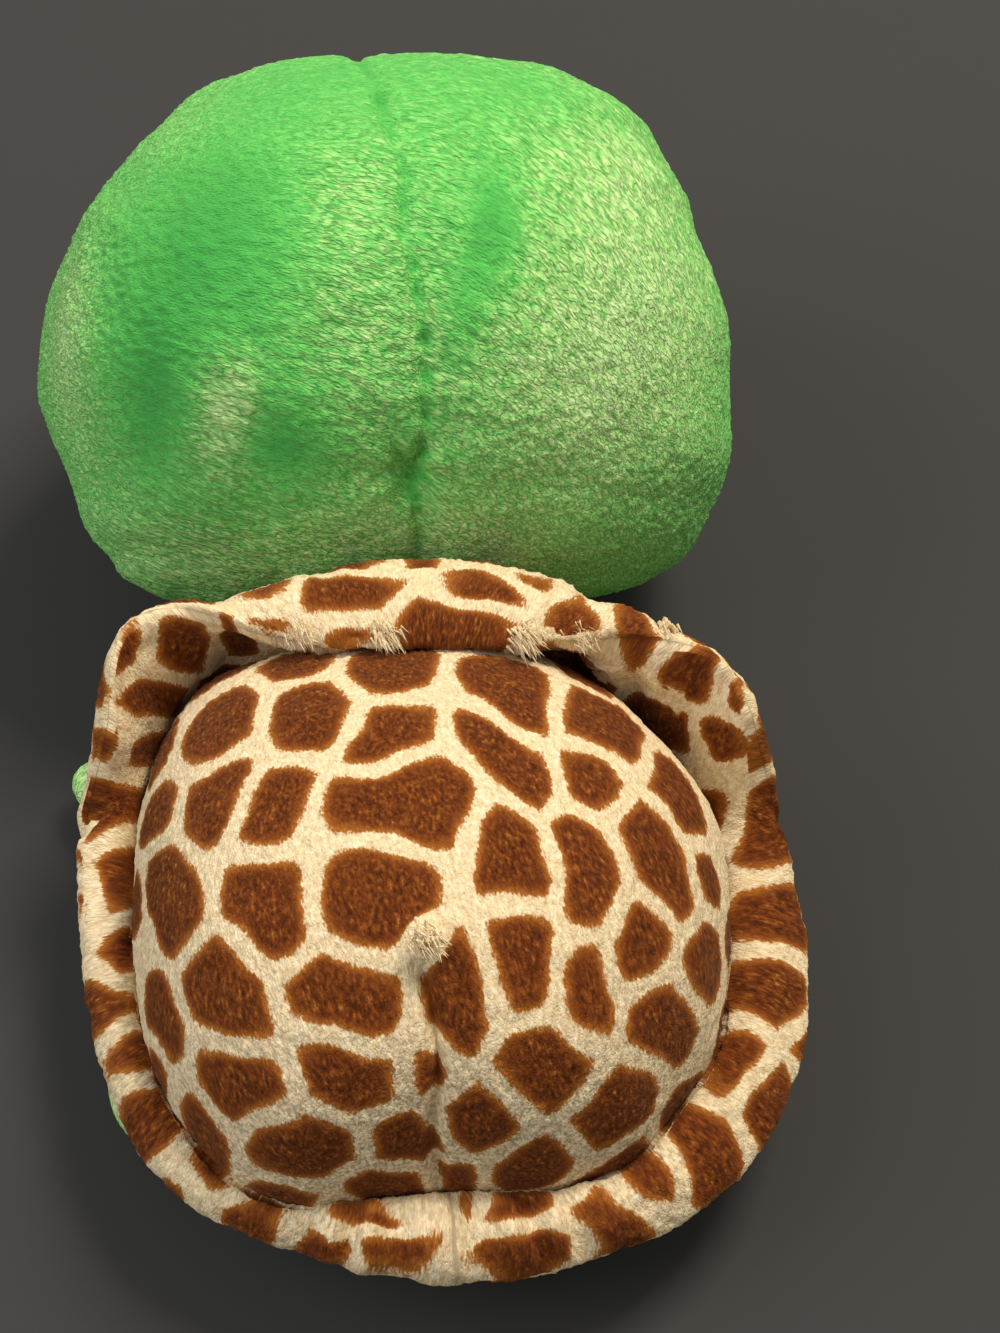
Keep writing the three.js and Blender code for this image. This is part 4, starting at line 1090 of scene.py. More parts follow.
# Bearing, share from the dome to the edge, side (1 above, -1 below), then the eight spokes.
brim_patches = [
    (-173.0, 0.561, 1, 5.0, 3.7, 2.4, 2.4, 3.6, 3.3, 2.6, 3.0),
    (-166.0, 0.31, 1, 3.1, 1.0, 1.0, 1.3, 4.6, 1.9, 1.7, 3.0),
    (-159.0, 0.631, 1, 2.0, 4.0, 2.0, 2.0, 4.0, 1.4, 1.0, 1.0),
    (-149.0, 0.617, 1, 4.1, 3.4, 2.4, 2.5, 2.9, 2.2, 1.9, 2.4),
    (-140.0, 0.198, 1, 3.9, 1.9, 1.1, 1.2, 2.0, 2.8, 2.5, 2.9),
    (-136.0, 0.813, 1, 2.4, 4.6, 3.8, 1.9, 1.5, 1.8, 1.9, 1.9),
    (-124.4, 0.449, 1, 3.5, 3.7, 4.7, 4.7, 3.8, 4.1, 4.5, 3.8),
    (-113.7, 0.218, 1, 2.6, 1.9, 1.9, 2.4, 3.1, 2.0, 1.7, 3.1),
    (-93.0, 0.17, 1, 2.5, 1.0, 1.0, 1.2, 3.0, 2.3, 2.2, 3.2),
    (-82.0, 0.645, 1, 2.6, 3.5, 2.6, 2.3, 2.1, 1.4, 1.1, 1.4),
    (-78.0, 0.31, 1, 4.1, 2.0, 1.6, 2.1, 3.9, 3.4, 3.1, 3.9),
    (-67.0, 0.939, 1, 3.4, 3.0, 3.1, 3.2, 3.1, 3.3, 3.8, 3.9),
    (-62.0, 0.995, 1, 2.1, 2.2, 1.8, 2.2, 1.6, 1.0, 1.0, 1.0),
    (-57.0, 0.533, 1, 2.6, 2.8, 3.2, 2.2, 2.0, 3.0, 6.4, 3.9),
    (-50.0, 0.981, 1, 2.9, 1.9, 1.4, 1.6, 2.9, 2.8, 2.1, 2.3),
    (-50.0, 0.603, 1, 2.5, 2.9, 4.7, 3.3, 2.6, 3.3, 6.8, 3.8),
    (-41.0, 0.757, 1, 3.6, 4.0, 5.0, 4.2, 4.1, 5.4, 6.9, 4.6),
    (-35.0, 0.883, 1, 1.8, 2.3, 4.5, 2.2, 1.9, 3.2, 8.5, 2.4),
    (35.0, 0.268, 1, 4.9, 2.4, 2.3, 4.2, 5.9, 3.4, 3.4, 5.8),
    (37.0, 0.97, 1, 5.0, 3.0, 2.2, 3.0, 5.0, 3.0, 2.2, 3.0),
    (56.0, 0.366, 1, 4.1, 3.7, 2.3, 2.0, 2.7, 5.3, 5.1, 4.1),
    (60.0, 0.939, 1, 2.8, 2.8, 3.4, 3.4, 3.2, 4.1, 5.7, 3.9),
    (66.0, 0.981, 1, 4.3, 2.2, 1.7, 2.2, 3.1, 2.0, 1.9, 2.8),
    (68.0, 0.841, 1, 2.3, 2.2, 3.3, 2.7, 1.9, 2.2, 4.6, 3.9),
    (74.7, 0.175, 1, 2.2, 1.7, 1.7, 1.9, 2.5, 1.5, 1.5, 1.6),
    (80.2, 0.566, 1, 4.5, 4.1, 4.3, 6.2, 2.8, 2.4, 3.4, 4.6),
    (94.1, 0.522, 1, 3.8, 4.5, 4.2, 5.0, 4.2, 3.2, 3.8, 5.5),
    (107.9, 0.483, 1, 4.5, 4.9, 4.2, 4.7, 4.3, 4.5, 4.9, 4.7),
    (113.5, 0.906, 1, 1.6, 2.0, 3.7, 3.4, 1.6, 1.2, 1.5, 1.5),
    (122.4, 0.299, 1, 4.9, 2.8, 2.7, 3.5, 4.2, 3.1, 3.1, 3.6),
    (124.2, 0.735, 1, 4.2, 4.7, 3.9, 4.6, 4.5, 3.0, 3.3, 4.0),
    (137.1, 0.54, 1, 3.4, 5.0, 4.0, 3.4, 3.5, 4.0, 4.3, 3.3),
    (148.0, 0.422, 1, 1.9, 1.6, 1.6, 1.9, 2.4, 2.9, 2.8, 2.4),
    (156.0, 0.659, 1, 4.1, 3.6, 3.9, 5.0, 3.9, 2.8, 2.8, 3.8),
    (169.0, 0.31, 1, 3.6, 1.3, 1.0, 1.0, 3.0, 3.6, 2.2, 2.4),
    (169.0, 0.617, 1, 5.5, 2.8, 2.5, 4.1, 5.7, 2.0, 1.6, 2.5),
    (177.0, 0.394, 1, 1.0, 1.4, 2.3, 1.0, 1.0, 1.0, 3.7, 1.4),
    (-39.0, 0.981, -1, 1.8, 1.0, 1.0, 1.2, 2.4, 1.6, 1.5, 2.0),
    (-31.0, 0.925, -1, 2.4, 2.0, 1.6, 1.9, 3.0, 2.3, 1.6, 1.7),
    (-14.0, 0.953, -1, 2.7, 1.1, 1.0, 1.0, 2.5, 2.4, 1.7, 1.9),
    (-11.0, 0.785, -1, 5.4, 4.4, 3.6, 4.0, 5.6, 5.2, 4.2, 4.5),
    (-10.0, 0.631, -1, 4.9, 4.6, 1.9, 1.4, 1.8, 5.8, 7.6, 5.0),
    (12.0, 0.925, -1, 7.7, 4.0, 2.7, 3.2, 6.6, 4.5, 3.2, 4.0),
    (19.0, 0.813, -1, 5.3, 2.4, 1.9, 2.6, 5.7, 4.1, 3.4, 4.5),
    (27.0, 0.729, -1, 3.1, 1.7, 1.1, 1.2, 2.3, 3.5, 2.7, 2.7),
    (39.0, 0.897, -1, 3.4, 3.1, 2.4, 2.2, 2.8, 3.7, 3.4, 3.1),
    (47.0, 0.911, -1, 3.6, 2.7, 2.2, 2.3, 2.7, 2.7, 2.8, 3.4),
    (-27.0, 0.729, -1, 1.9, 2.1, 2.5, 2.6, 2.8, 3.6, 3.5, 2.4),
]
print(len(brim_patches), "patches and", len(seam_tufts), "tufts are placed on the brim")

# %% Lay the print on the brim
laid = [(*frame_at(brim_surface, math.radians(b), s, side), radii, side)
        for b, s, side, *radii in brim_patches]
brim_spots = fill_patches(brim_surface, laid, 0.12, 0.9, 5, 2500, (1.0, -1.0))
brim_print = patch_depth(points_of(brim_plush), normals_of(brim_plush), brim_spots, 1.8)
keep_values(brim_plush, "patch", brim_print)
keep_values(brim_plush, "nap", nap_light_and_shade(brim_plush, dome_middle, open_pile_shade, 0.55))
# The cloth's coordinates run round the brim, out from its root, and apart on its two faces.
mean_reach, faces_apart = 42.0, 30.0
around_edge = bearing_grid.ravel() * mean_reach
out_from_root = (share_grid * cloth_reach(bearing_grid)).ravel()
above_below = side_grid.ravel() * faces_apart
keep_values(brim_plush, "cloth", np.stack([around_edge, out_from_root, above_below], -1))
tuft_out, tuft_lean = camera_right * 0.2 - sight * 0.6, camera_right * 0.5 - camera_up
with_tufts(brim_plush, [
    (frame_at(brim_surface, math.radians(bearing), share, -1)[0], tuft_out, tuft_lean, hairs, length)
    for bearing, share, hairs, length in seam_tufts])
run_tree(brim_plush, raise_pile, Tuft_width=0.9, Tuft_length=2.0, Pile_depth=0.45, Lump_width=7.0,
         Lump_depth=0.7, Cloth=printed_plush)
hand_over(brim_plush, "torso", "printed_plush", "brim_upper", "brim_lower", fill=0.5)

# %% [markdown]
# ## Belly
# The belly is a bowl of green plush that is flat where the toy rests. A curve from the seam to
# the flat, turned about an upright axis, gives the bowl, and a few folds run in from its seam.

# %% Belly surface
belly_rim_radius, belly_rim_height, belly_flat_radius = 36.2, 17.9, 22.0
belly_guide_radius, belly_guide_height, bulge_fade_height = 37.5, 3.0, 10.0
belly_flat_share, belly_fold_depth, belly_folds = 0.6, 0.35, 23


def belly_surface(bearing, share):
    """Belly points in mm: share 0 at the seam, 0.6 where the flat begins and 1 in the middle."""
    along = np.clip(share / belly_flat_share, 0, 1)
    rest = 1 - along
    radius = belly_rim_radius * rest**2 + 2 * belly_guide_radius * along * rest
    radius = radius + belly_flat_radius * along**2
    height = belly_rim_height * rest**2 + 2 * belly_guide_height * along * rest
    flat = belly_flat_radius * (1 - share) / (1 - belly_flat_share)
    radius = np.where(share > belly_flat_share, flat, radius)
    fade = np.clip((height - bulge_fade_height) / (belly_rim_height - bulge_fade_height), 0, 1) ** 2
    radius = radius + bulge_at(bearing) * fade * (radius / dome_radius) ** 2
    folds = np.sin(bearing * belly_folds + 2 * np.sin(bearing * 5)) * hill(share - 0.12, 0.1)
    radius = radius - np.abs(belly_fold_depth * folds)
    return np.stack([radius * np.sin(bearing), radius * np.cos(bearing), height], -1) + shell_place


print("the belly's flat is", 2 * belly_flat_radius, "mm across")


# %% Belly skin
shares = np.linspace(1, 0, 110, endpoint=False)[1:]
share_grid, bearing_grid = np.meshgrid(np.append(shares, 0.0), bearings[::2], indexing="ij")
belly_points = pressed(belly_surface(bearing_grid, share_grid), neck_centre, neck_radius + neck_room)
belly_plush = skin("belly_plush", lined(belly_points, pile_cloth, dome_middle))
keep_values(belly_plush, "nap", nap_light_and_shade(belly_plush, dome_middle, [], 0.5))
keep_values(belly_plush, "cloth", points_of(belly_plush) @ cloth_axes(0.0).T)
run_tree(belly_plush, raise_pile, Tuft_width=0.95, Tuft_length=2.0, Pile_depth=0.25, Lump_width=11.0,
         Lump_depth=0.1, Cloth=green_plush)
flatten_to_floor(belly_plush)
hand_over(belly_plush, "torso", "green_plush", "belly_panel", fill=0.8)

# %% [markdown]
# ## Neck
# Between body and head sits a ball of cloth that lets the head turn and nod. Only its band
# between the two shows, from below, and it is gathered, so it gets small pleats.

# %% Neck
neck_half_band, neck_cloth, neck_pleats, pleat_depth = 8.0, 1.0, 26, 0.22
band = np.linspace(-neck_half_band, neck_half_band, 34)
around = np.linspace(0, 2 * math.pi, 260, endpoint=False)
around_grid, band_grid = np.meshgrid(around, np.concatenate([band, band[::-2]]), indexing="ij")
outer = np.concatenate([np.ones(len(band)), np.zeros(len(band[::-2]))])
pleat = pleat_depth * (1 + np.cos(around_grid * neck_pleats + 1.2 * np.sin(around_grid * 7))) * outer
radius = np.sqrt((neck_radius - neck_cloth * (1 - outer)) ** 2 - band_grid**2) - pleat
neck_points = np.stack([radius * np.cos(around_grid), band_grid, radius * np.sin(around_grid)], -1)
neck_plush = skin("neck_plush", neck_points + neck_centre, joined=True)
keep_values(neck_plush, "nap", np.full(len(neck_plush.data.vertices), 0.42))
keep_values(neck_plush, "cloth", points_of(neck_plush) @ cloth_axes(0.0).T)
run_tree(neck_plush, raise_pile, Tuft_width=0.9, Tuft_length=1.8, Pile_depth=0.2, Lump_width=8.0,
         Lump_depth=0.1, Cloth=green_plush)
hand_over(neck_plush, "neck", "green_plush", "neck_cover")

# %% [markdown]
# ## Flippers and tail
# Each limb is a small paddle of two green faces sewn round the edge and lightly stuffed. One rule
# makes all five: full in the middle, thin at the sewn edge, rounded at the root, and swept to the
# back. Each has its own place round the shell and its own droop, and rides on its own body.

# %% Limb sizes
# Shares of a limb: how much it narrows at its sides, and where the rounding of its tip starts.
limb_root, limb_narrowing, tip_share = 2.0, 0.86, 0.66
front_flipper = dict(reach=17.3, half_width=7.5, half_thick=3.2, sweep=-3.0, height=8.0, droop=3.0,
                     bearing=50.0, root=(28.332, -11.527))
rear_flipper = dict(reach=6.8, half_width=7.0, half_thick=2.5, sweep=-1.0, height=6.0, droop=6.0,
                    bearing=112.0, root=(33.375, -48.784))
tail_limb = dict(reach=5.5, half_width=4.5, half_thick=2.3, sweep=0.0, height=9.0, droop=4.0,
                 bearing=180.0, root=(0.0, -72.778))
limbs = [("front_flipper_right", front_flipper, 1), ("front_flipper_left", front_flipper, -1),
         ("rear_flipper_right", rear_flipper, 1), ("rear_flipper_left", rear_flipper, -1),
         ("tail", tail_limb, 1)]
print("limbs:", ", ".join(name for name, _, _ in limbs))


# %% Limb surface
def limb_grid(limb, side, count, around, wall=0.0):
    """Rings of a limb in mm, across its width, each ring round its thickness."""
    share = np.sin(np.linspace(-math.pi / 2, math.pi / 2, count + 2)[1:-1])
    lap = np.linspace(0, 2 * math.pi, around, endpoint=False)
    share_grid, lap_grid = np.meshgrid(share, lap, indexing="ij")
    fullness = np.sqrt(1 - limb_narrowing * share_grid**2)
    reach = limb["reach"] * fullness - wall
    out = (1 - np.cos(lap_grid)) / 2
    x = -limb_root + wall + (reach + limb_root - wall) * out
    along = np.clip(x / reach, 0, 1)
    swell = limb["half_thick"] * fullness + limb_root * (1 - fullness) - limb_root
    thick = limb_root + swell * np.sin(math.pi * np.minimum(along * 0.9 + 0.05, 1))
    past_tip = np.maximum(along - tip_share, 0) / (1 - tip_share)
    tip = np.sqrt(np.maximum(1 - past_tip**2, 0))
    root = np.sqrt(np.maximum(1 - (np.minimum(x, 0) / limb_root) ** 2, 0))
    edge = np.sqrt(1 - share_grid**4)
    z = np.maximum(thick - wall, 0.1) * tip * root * edge * np.sign(np.sin(lap_grid))
    y = share_grid * (limb["half_width"] - wall) + limb["sweep"] * side * (x / limb["reach"]) ** 2
    return np.stack([x, y, z], -1)


def placed(points, limb, side):
    """Limb points turned to droop and moved to their place round the shell."""
    droop, at = math.radians(limb["droop"]), math.radians(90 - limb["bearing"] * side)
    x = points[..., 0] * math.cos(droop) + points[..., 2] * math.sin(droop)
    z = points[..., 2] * math.cos(droop) - points[..., 0] * math.sin(droop)
    root_x, root_y = limb["root"]
    turned_x = x * math.cos(at) - points[..., 1] * math.sin(at) + root_x * side
    turned_y = x * math.sin(at) + points[..., 1] * math.cos(at) + root_y
    return np.stack([turned_x, turned_y, z + limb["height"]], -1)


tail_tip = placed(limb_grid(tail_limb, 1, 9, 16), tail_limb, 1)[4, 8]
print("the tail's tip lies at", np.round(tail_tip, 1), "mm")


# %% Limb skins
for name, limb, side in limbs:
    paddle = skin(f"{name}_plush", placed(limb_grid(limb, side, 90, 150), limb, side))
    keep_values(paddle, "nap", np.full(len(paddle.data.vertices), 0.85))
    keep_values(paddle, "cloth", points_of(paddle) @ cloth_axes(90.0 - limb["bearing"] * side).T)
    run_tree(paddle, raise_pile, Tuft_width=0.85, Tuft_length=1.8, Pile_depth=0.22, Lump_width=6.0,
             Lump_depth=0.15, Cloth=green_plush)
    hand_over(paddle, name, "green_plush", f"{name}_top", f"{name}_bottom", fill=0.5)

# %% [markdown]
# ## Places on the face
# The eyes and the stitching need a spot on the eased head and the direction square to its cloth.
# Both come from the head's own rule, so they stay on the cloth if its sizes change.

# %% Spots on the head's cloth
eye_turn_share, eye_rise_share, eye_room = 0.356, 0.035, 8.8


def face_frame(turn, swing):
    """A point of the head and the direction square to its cloth."""
    step = 1e-3
    here, over, along = (eased(head_surface(np.array(turn + a), np.array(swing + b))) + head_centre
                         for a, b in ((0, 0), (step, 0), (0, step)))
    out = np.cross(over - here, along - here)
    out *= np.sign(out[1]) / np.linalg.norm(out)
    return here, out


def eye_frame(side):
    """The place of an eye on the cloth and the direction of its stem."""
    return face_frame(math.pi * (0.5 - side * (0.5 - eye_turn_share)), math.pi * eye_rise_share)


print("the right eye sits at", np.round(eye_frame(1)[0], 1), "mm")

# %% [markdown]
# ## Fibre fill
# Inside every cloth part is a loose mass of crimped white polyester fibre. No one sees it, but the
# part is whole: each mass has the shape of its cloth, drawn in, and its material shows strands.

# %% Fibre
def fibre_wadding():
    """Crimped polyester fibre: soft white clumps, with painted shade in the fine gaps between strands."""
    material, tree, shader = new_material(
        "polyester_fibre_fill", Roughness=0.9, Sheen_Weight=0.3, Sheen_Roughness=0.5,
        Specular_IOR_Level=0.2)
    strands = cloth_noise(tree, 0.5, 4.0, 4.0, 2.0)
    tone = add(tree, "ShaderNodeMapRange", {"Value": strands, "From Min": 0.3, "From Max": 0.7})
    colour = add(tree, "ShaderNodeValToRGB", {"Fac": tone}, stops=[
        (0.0, "#C9C5BC"), (0.5, "#EAE8E1"), (1.0, "#FAF9F5")])
    feed(tree, shader, {"Base Color": colour, "Normal": pile_bump(tree, strands, 1.0)})
    return material


fibre_fill = fibre_wadding()
fill_gap = 0.9
fill_wall = pile_cloth + fill_gap
neck_clear = neck_radius + neck_room + fill_wall


def wadding(name, rings, body, node, joined=False):
    """A mass of fibre over rings of points, handed over for its solid."""
    mass = skin(name, rings, joined)
    keep_values(mass, "cloth", points_of(mass) @ cloth_axes(35.0).T)
    run_tree(mass, raise_pile, Tuft_width=1.6, Tuft_length=4.0, Pile_depth=0.35, Lump_width=9.0,
             Lump_depth=0.3, Cloth=fibre_fill)
    hand_over(mass, body, "fibre_fill", node)


# %% Fibre in the head
head_mass = pressed(sewn(head_grid(90, 140, fill_wall)) + head_centre, neck_centre, neck_clear)
for side in (1, -1):
    place, out = eye_frame(side)
    head_mass = pressed(head_mass, place + out, eye_room)
wadding("head_wadding", head_mass, "head", "head_stuffing")

# %% Fibre in the body
# The mass is hollow below, where the pouch of pellets lies: radius and height up the hollow.
pouch_room = [(21.6, 2.3), (20.9, 2.5), (20.9, 7.8), (18.0, 11.5), (15.0, 14.6), (8.0, 14.8), (1.0, 14.8)]
coarse = bearings[::4]
dome_part = dome_surface(*np.meshgrid(coarse, np.linspace(0.04, 1, 40)))
belly_part = belly_surface(*np.meshgrid(coarse, np.linspace(0, 0.5, 24)))
body_cloth = np.concatenate([dome_part, belly_part]) - dome_middle
size = np.linalg.norm(body_cloth, axis=-1)[..., None]
body_mass = body_cloth * (1 - fill_wall / size) + dome_middle
hollow = [np.stack([r * np.sin(coarse), r * np.cos(coarse), np.full(len(coarse), z)], -1) + shell_place
          for r, z in pouch_room]
body_mass = pressed(np.concatenate([body_mass, hollow]), neck_centre, neck_clear)
wadding("body_wadding", body_mass, "torso", "body_stuffing")

# %% Fibre in the brim, the neck and the limbs
brim_mass = brim_surface(*brim_grid(240, 14, 0.2), 0.75)
wadding("brim_wadding", brim_mass, "torso", "brim_batting", joined=True)

neck_turns, neck_swings = np.meshgrid(np.linspace(0.08, math.pi - 0.08, 50), around[::4], indexing="ij")
lumpy = 10.5 + 0.2 * np.sin(neck_turns * 7) * np.sin(neck_swings * 5)
neck_mass = lumpy[..., None] * np.stack([
    np.sin(neck_turns) * np.cos(neck_swings), np.cos(neck_turns),
    np.sin(neck_turns) * np.sin(neck_swings)], -1)
wadding("neck_wadding", neck_mass + neck_centre, "neck", "neck_stuffing")
for name, limb, side in limbs:
    limb_mass = placed(limb_grid(limb, side, 40, 60, 1.25), limb, side)
    wadding(f"{name}_wadding", limb_mass, name, f"{name}_fill")

# %% [markdown]
# ## Eyes and washers
# Toy eyes are moulded in black plastic and polished. A ridged stem goes through the cloth, and a
# washer is pushed on to it from behind. Both are turned shapes, so one rule places rings of
# points round the stem's axis, which stands square to the cloth.

# %% Moulded plastics
def hard_plastic(name, dark, light, roughness, coat):
    """Moulded plastic: even colour, faint flow marks in its gloss."""
    material, tree, shader = new_material(name, Roughness=roughness, Coat_Weight=coat, Coat_Roughness=0.04)
    place = add(tree, "ShaderNodeTexCoord").outputs["Object"]
    marks = add(tree, "ShaderNodeTexNoise", {"Vector": place, "Scale": 0.4 / MM, "Detail": 4.0})
    tone = add(tree, "ShaderNodeValToRGB", {"Fac": marks}, stops=[(0.3, dark), (0.7, light)])
    gloss = add(tree, "ShaderNodeMapRange",
                {"Value": marks, "To Min": roughness * 0.8, "To Max": roughness * 1.3})
    bump = add(tree, "ShaderNodeBump", {"Height": marks, "Strength": 0.05, "Distance": 0.1 * MM})
    feed(tree, shader, {"Base Color": tone, "Roughness": gloss, "Normal": bump})
    return material


black_plastic = hard_plastic("polished_black_plastic", "#07070A", "#0D0D10", 0.09, 0.6)
white_plastic = hard_plastic("moulded_white_plastic", "#E9E9E5", "#F3F3F0", 0.4, 0.0)


# %% Profiles of eye and washer
eye_radius, eye_dome, stem_radius, stem_length = 6.5, 3.9, 1.6, 8.0
ridges, ridge_step, ridge_depth = 5, 1.2, 0.3
# Radius and height along the stem, from its tip to the crown of the eye.
eye_profile = [(0.6, -stem_length), (1.3, -stem_length)]
for ridge in range(ridges):
    low = -stem_length + ridge_depth + ridge_step * ridge
    eye_profile += [(stem_radius, low), (stem_radius, low + 0.4), (stem_radius - ridge_depth, low + 0.6),
                    (stem_radius - ridge_depth, low + 1.1)]
eye_profile += [(2.0, -0.7), (5.9, -0.6), (6.35, -0.35)]
eye_profile += [(eye_radius * math.cos(a), 0.1 + eye_dome * math.sin(a)) for a in np.linspace(0, 1.5, 26)]
washer_section = [(1.9, -4.3), (1.9, -3.1), (2.9, -3.1), (3.3, -3.35), (5.7, -3.35), (6.0, -3.6),
                  (6.0, -4.1), (5.8, -4.3)]
print("an eye's profile has", len(eye_profile), "points")


# %% Turn the eyes and washers
def turned_rings(profile, place, out, around):
    """Rings of points for a profile of (radius, height) about an axis."""
    side = np.cross(out, [0.0, 0.0, 1.0])
    side /= np.linalg.norm(side)
    up = np.cross(side, out)
    lap = np.linspace(0, 2 * math.pi, around, endpoint=False)
    rings = [place + out * height + radius * (np.outer(np.cos(lap), side) + np.outer(np.sin(lap), up))
             for radius, height in profile]
    return np.array(rings)


for word, side in (("right", 1), ("left", -1)):
    place, out = eye_frame(side)
    eye = skin(f"eye_{word}_black", turned_rings(eye_profile, place, out, 72))
    eye.data.materials.append(black_plastic)
    hand_over(eye, "head", "eye_plastic", f"eye_{word}")
    loops = turned_rings(washer_section, place, out, 48).transpose(1, 0, 2)
    washer = skin(f"washer_{word}_white", loops, joined=True)
    washer.data.materials.append(white_plastic)
    hand_over(washer, "head", "washer_plastic", f"eye_washer_{word}")

# %% [markdown]
# ## Stitched smile and nostrils
# The smile and the nostrils are satin stitch: short threads laid side by side across a line. A
# Geometry Nodes tree puts one stitch on each point of a path, square to the path and flat on the
# cloth, with a small random tilt, because a machine never lays two threads quite the same.

# %% Geometry Nodes tree for satin stitch
def stitch_tree():
    """A tree that lays a stitch across a path at each of its points."""
    tree, given = new_tree(
        "satin_stitch", "Stitches", Path="Geometry", Stitch_length=1.3, Thread_width=0.4, Tilt=0.12,
        Seed=4, Thread="Material")
    out, along = (
        add(tree, "GeometryNodeInputNamedAttribute", {"Name": name}, data_type="FLOAT_VECTOR")
        for name in ("out", "along"))
    flat = add(tree, "FunctionNodeAxesToRotation",
               {"Primary Axis": out.outputs["Attribute"], "Secondary Axis": along.outputs["Attribute"]},
               primary_axis="Z", secondary_axis="X")
    less = add(tree, "ShaderNodeMath", {0: given["Tilt"], 1: -1.0}, operation="MULTIPLY")
    turn = add(tree, "FunctionNodeRandomValue", {"Min": less.outputs[0], "Max": given["Tilt"],
                                                 "Seed": given["Seed"]}, data_type="FLOAT")
    spin = add(tree, "FunctionNodeAxisAngleToRotation", {"Axis": (0, 0, 1), "Angle": turn.outputs[1]})
    laid_flat = add(tree, "FunctionNodeRotateRotation", {"Rotation": flat, "Rotate By": spin},
                    rotation_space="LOCAL")
    ball = add(tree, "GeometryNodeMeshUVSphere", {"Segments": 8, "Rings": 6, "Radius": 0.5 * MM})
    smooth = add(tree, "GeometryNodeSetShadeSmooth", {0: ball.outputs["Mesh"]})
    size = add(tree, "ShaderNodeCombineXYZ",
               {"X": given["Thread width"], "Y": given["Stitch length"], "Z": given["Thread width"]})
    many = add(tree, "GeometryNodeInstanceOnPoints",
               {"Points": given["Path"], "Instance": smooth, "Rotation": laid_flat, "Scale": size})
    return end_tree(tree, many, given["Thread"], "Stitches")


satin_stitch = stitch_tree()
print("tree", satin_stitch.name, "has", len(satin_stitch.nodes), "nodes")


# %% Thread
def embroidery_thread():
    """Mercerised black cotton: a dull silk lustre, with the twist of the ply."""
    material, tree, shader = new_material("black_cotton_thread", Roughness=0.5, Sheen_Weight=0.15)
    place = add(tree, "ShaderNodeTexCoord").outputs["Object"]
    twist = add(tree, "ShaderNodeTexNoise", {"Vector": place, "Scale": 2.5 / MM, "Detail": 2.0})
    tone = add(tree, "ShaderNodeValToRGB", {"Fac": twist}, stops=[(0.3, "#0C0C0E"), (0.7, "#232326")])
    bump = add(tree, "ShaderNodeBump", {"Height": twist, "Strength": 0.5, "Distance": 0.1 * MM})
    feed(tree, shader, {"Base Color": tone, "Normal": bump})
    return material


black_thread = embroidery_thread()


# %% Smile and nostrils
def stitched_line(name, places, lift, length, node):
    """Satin stitch along places on the face, given across and up from the middle of the head."""
    frames = []
    for across, up in places:
        side = (abs(across) / head_half[0]) ** (1 / head_squareness)
        turn = math.acos(math.copysign(side, across))
        swing = math.asin(up / head_half[2] / math.sin(turn) ** head_squareness)
        frames.append(face_frame(turn, swing))
    spots = np.array([here + out * lift for here, out in frames])
    mesh = bpy.data.meshes.new(name)
    mesh.from_pydata((spots * MM).tolist(), [], [])
    line = place_in_scene(name, mesh)
    keep_values(line, "out", np.array([out for _, out in frames]))
    keep_values(line, "along", np.gradient(spots, axis=0))
    run_tree(line, satin_stitch, Stitch_length=length, Thread_width=0.55, Tilt=0.14, Seed=4,
             Thread=black_thread)
    hand_over(line, "head", "black_thread", node)


smile_half_width, smile_lift, smile_drop, nostril_apart, nostril_drop = 9.3, 3.0, 15.0, 2.6, 4.5
smile = [(t * smile_half_width, smile_lift * t * t - smile_drop) for t in np.linspace(-1, 1, 62)]
stitched_line("smile_thread", smile, 0.45, 1.3, "mouth_stitch")
for word, side in (("right", 1), ("left", -1)):
    spots = [(side * nostril_apart, -nostril_drop + t) for t in np.linspace(-1.0, 1.0, 8)]
    stitched_line(f"nostril_{word}_thread", spots, 0.35, 1.1, f"nostril_{word}")

# %% [markdown]
# ## Pouch of pellets
# A cotton pouch of plastic pellets lies in the belly, so that the toy sits down firmly. The pouch
# is a flat round bag with puckers at its rim. The pellets are what repeats: a tree fills the
# bag's volume with points on a grid, shifts each a little, and puts a pellet on each.

# %% Muslin
def woven_cotton():
    """Plain-woven muslin: pale threads over and under. Real threads are near 0.3 mm; these are 0.6."""
    material, tree, shader = new_material("cotton_muslin", Roughness=0.85, Sheen_Weight=0.1)
    place = add(tree, "ShaderNodeTexCoord").outputs["Object"]
    warp, weft = (
        add(tree, "ShaderNodeTexWave", {"Vector": place, "Scale": 0.26 / MM, "Distortion": 0.6},
            bands_direction=axis).outputs["Fac"]
        for axis in ("X", "Y"))
    over = add(tree, "ShaderNodeMath", {0: warp, 1: weft}, operation="MULTIPLY")
    tone = add(tree, "ShaderNodeValToRGB", {"Fac": over}, stops=[(0.0, "#C9C3B3"), (0.8, "#ECE7DA")])
    bump = add(tree, "ShaderNodeBump", {"Height": over, "Strength": 0.6, "Distance": 0.2 * MM})
    feed(tree, shader, {"Base Color": tone, "Normal": bump})
    return material


# %% Pouch
pouch_middle = np.array([0.0, shell_centre_y, 7.8])
pouch_squareness, pole_gap = 0.8, 0.06


def bag_rings(radius, half_height, count, around, pucker):
    """A flat round bag: full in the middle, thin and puckered at its rim."""
    turn = np.linspace(pole_gap, math.pi - pole_gap, count)
    turn_grid, lap = np.meshgrid(turn, np.linspace(0, 2 * math.pi, around, endpoint=False), indexing="ij")
    rim = np.sin(turn_grid) ** 8
    out = radius * np.sin(turn_grid) ** pouch_squareness
    out = out - pucker * rim * (1 + np.cos(lap * 31 + 2 * np.sin(lap * 4)))
    up = half_height * np.sign(np.cos(turn_grid)) * np.abs(np.cos(turn_grid)) ** pouch_squareness
    return pouch_middle + np.stack([out * np.sin(lap), out * np.cos(lap), up], -1)


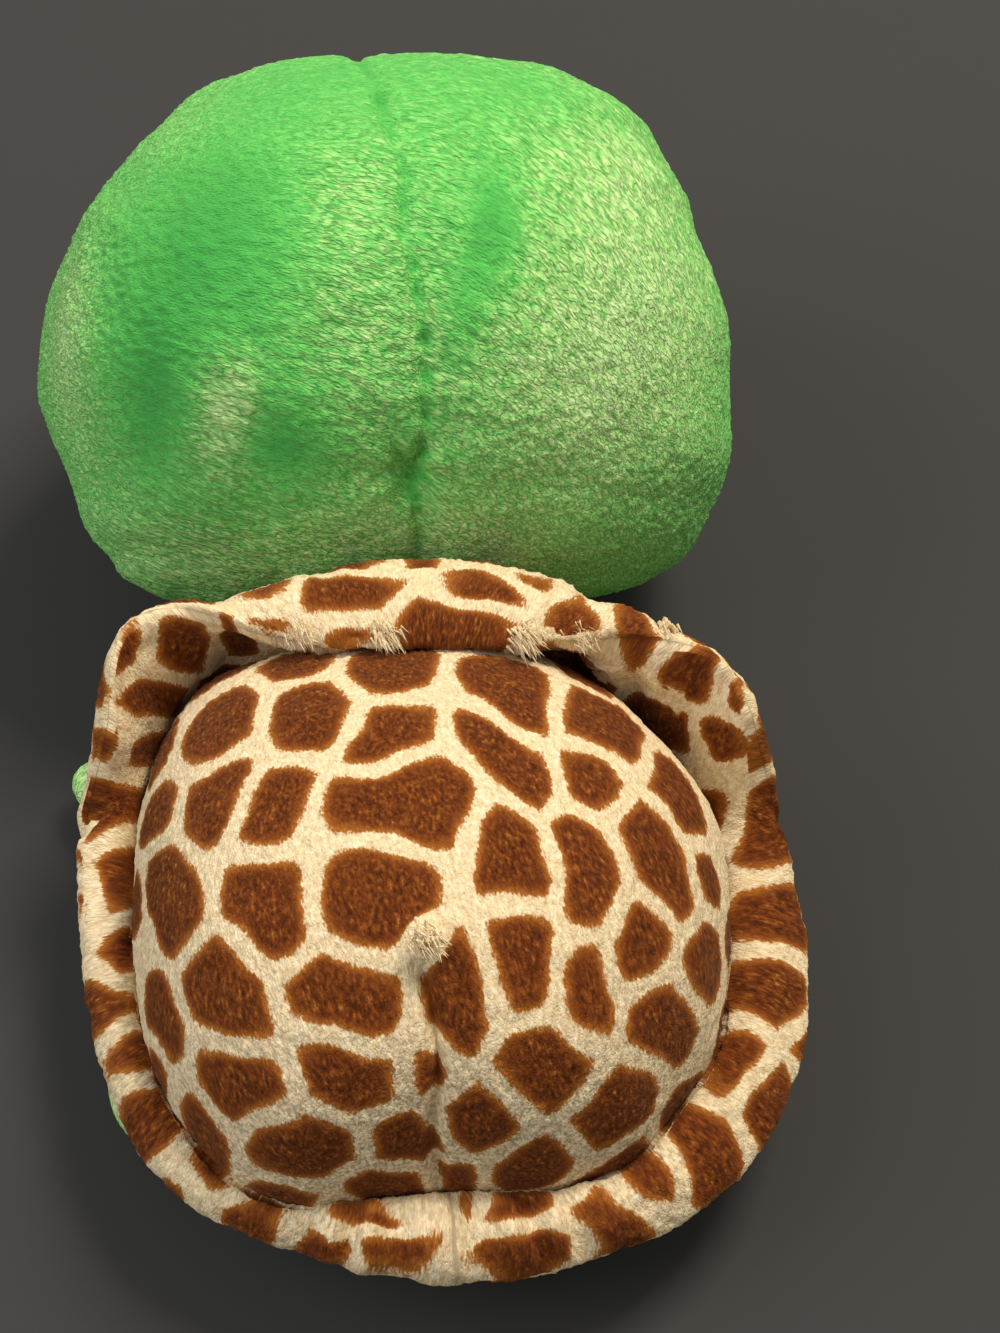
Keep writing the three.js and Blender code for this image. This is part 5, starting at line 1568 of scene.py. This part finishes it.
pouch = skin("pellet_pouch", bag_rings(19.8, 5.8, 60, 200, 0.2))
pouch.data.materials.append(woven_cotton())
hand_over(pouch, "torso", "pouch_fabric", "pellet_pouch_upper", "pellet_pouch_lower", fill=0.7)


# %% Geometry Nodes tree for the pellets
def pellet_tree():
    """A tree that fills a closed skin with pellets."""
    tree, given = new_tree(
        "fill_with_pellets", "Pellets", Heap="Geometry", Spacing=3.0, Pellet_radius=1.25, Shift=0.3,
        Seed=2, Plastic="Material")
    spacing, shift, pellet_radius = (
        add(tree, "ShaderNodeMath", {0: given[name], 1: MM}, operation="MULTIPLY").outputs[0]
        for name in ("Spacing", "Shift", "Pellet radius"))
    back = add(tree, "ShaderNodeMath", {0: shift, 1: -1.0}, operation="MULTIPLY").outputs[0]
    apart, low, high = (
        add(tree, "ShaderNodeCombineXYZ", {axis: length for axis in "XYZ"}).outputs[0]
        for length in (spacing, back, shift))
    volume = add(tree, "GeometryNodeMeshToVolume", {"Mesh": given["Heap"], "Density": 1.0})
    points = add(tree, "GeometryNodeDistributePointsInVolume",
                 {"Volume": volume, "Spacing": apart, "Threshold": 0.5}, mode="DENSITY_GRID")
    chance = add(tree, "FunctionNodeRandomValue", {0: low, 1: high, "Seed": given["Seed"]},
                 data_type="FLOAT_VECTOR")
    moved = add(tree, "GeometryNodeSetPosition",
                {"Geometry": points.outputs[0], "Offset": chance.outputs[0]})
    ball = add(tree, "GeometryNodeMeshIcoSphere", {"Radius": pellet_radius, "Subdivisions": 2})
    smooth = add(tree, "GeometryNodeSetShadeSmooth", {0: ball.outputs["Mesh"]})
    many = add(tree, "GeometryNodeInstanceOnPoints", {"Points": moved, "Instance": smooth})
    return end_tree(tree, many, given["Plastic"], "Pellets")


fill_with_pellets = pellet_tree()
print("tree", fill_with_pellets.name, "has", len(fill_with_pellets.nodes), "nodes")

# %% Pellets
polythene = hard_plastic("milky_polythene_pellets", "#DDE0DC", "#EFF0EC", 0.45, 0.0)
heap = skin("pellet_heap", bag_rings(17.4, 4.1, 24, 60, 0.0))
run_tree(heap, fill_with_pellets, Spacing=3.0, Pellet_radius=1.25, Shift=0.2, Seed=2,
         Plastic=polythene)
hand_over(heap, "torso", "pellet_plastic", "pellets")
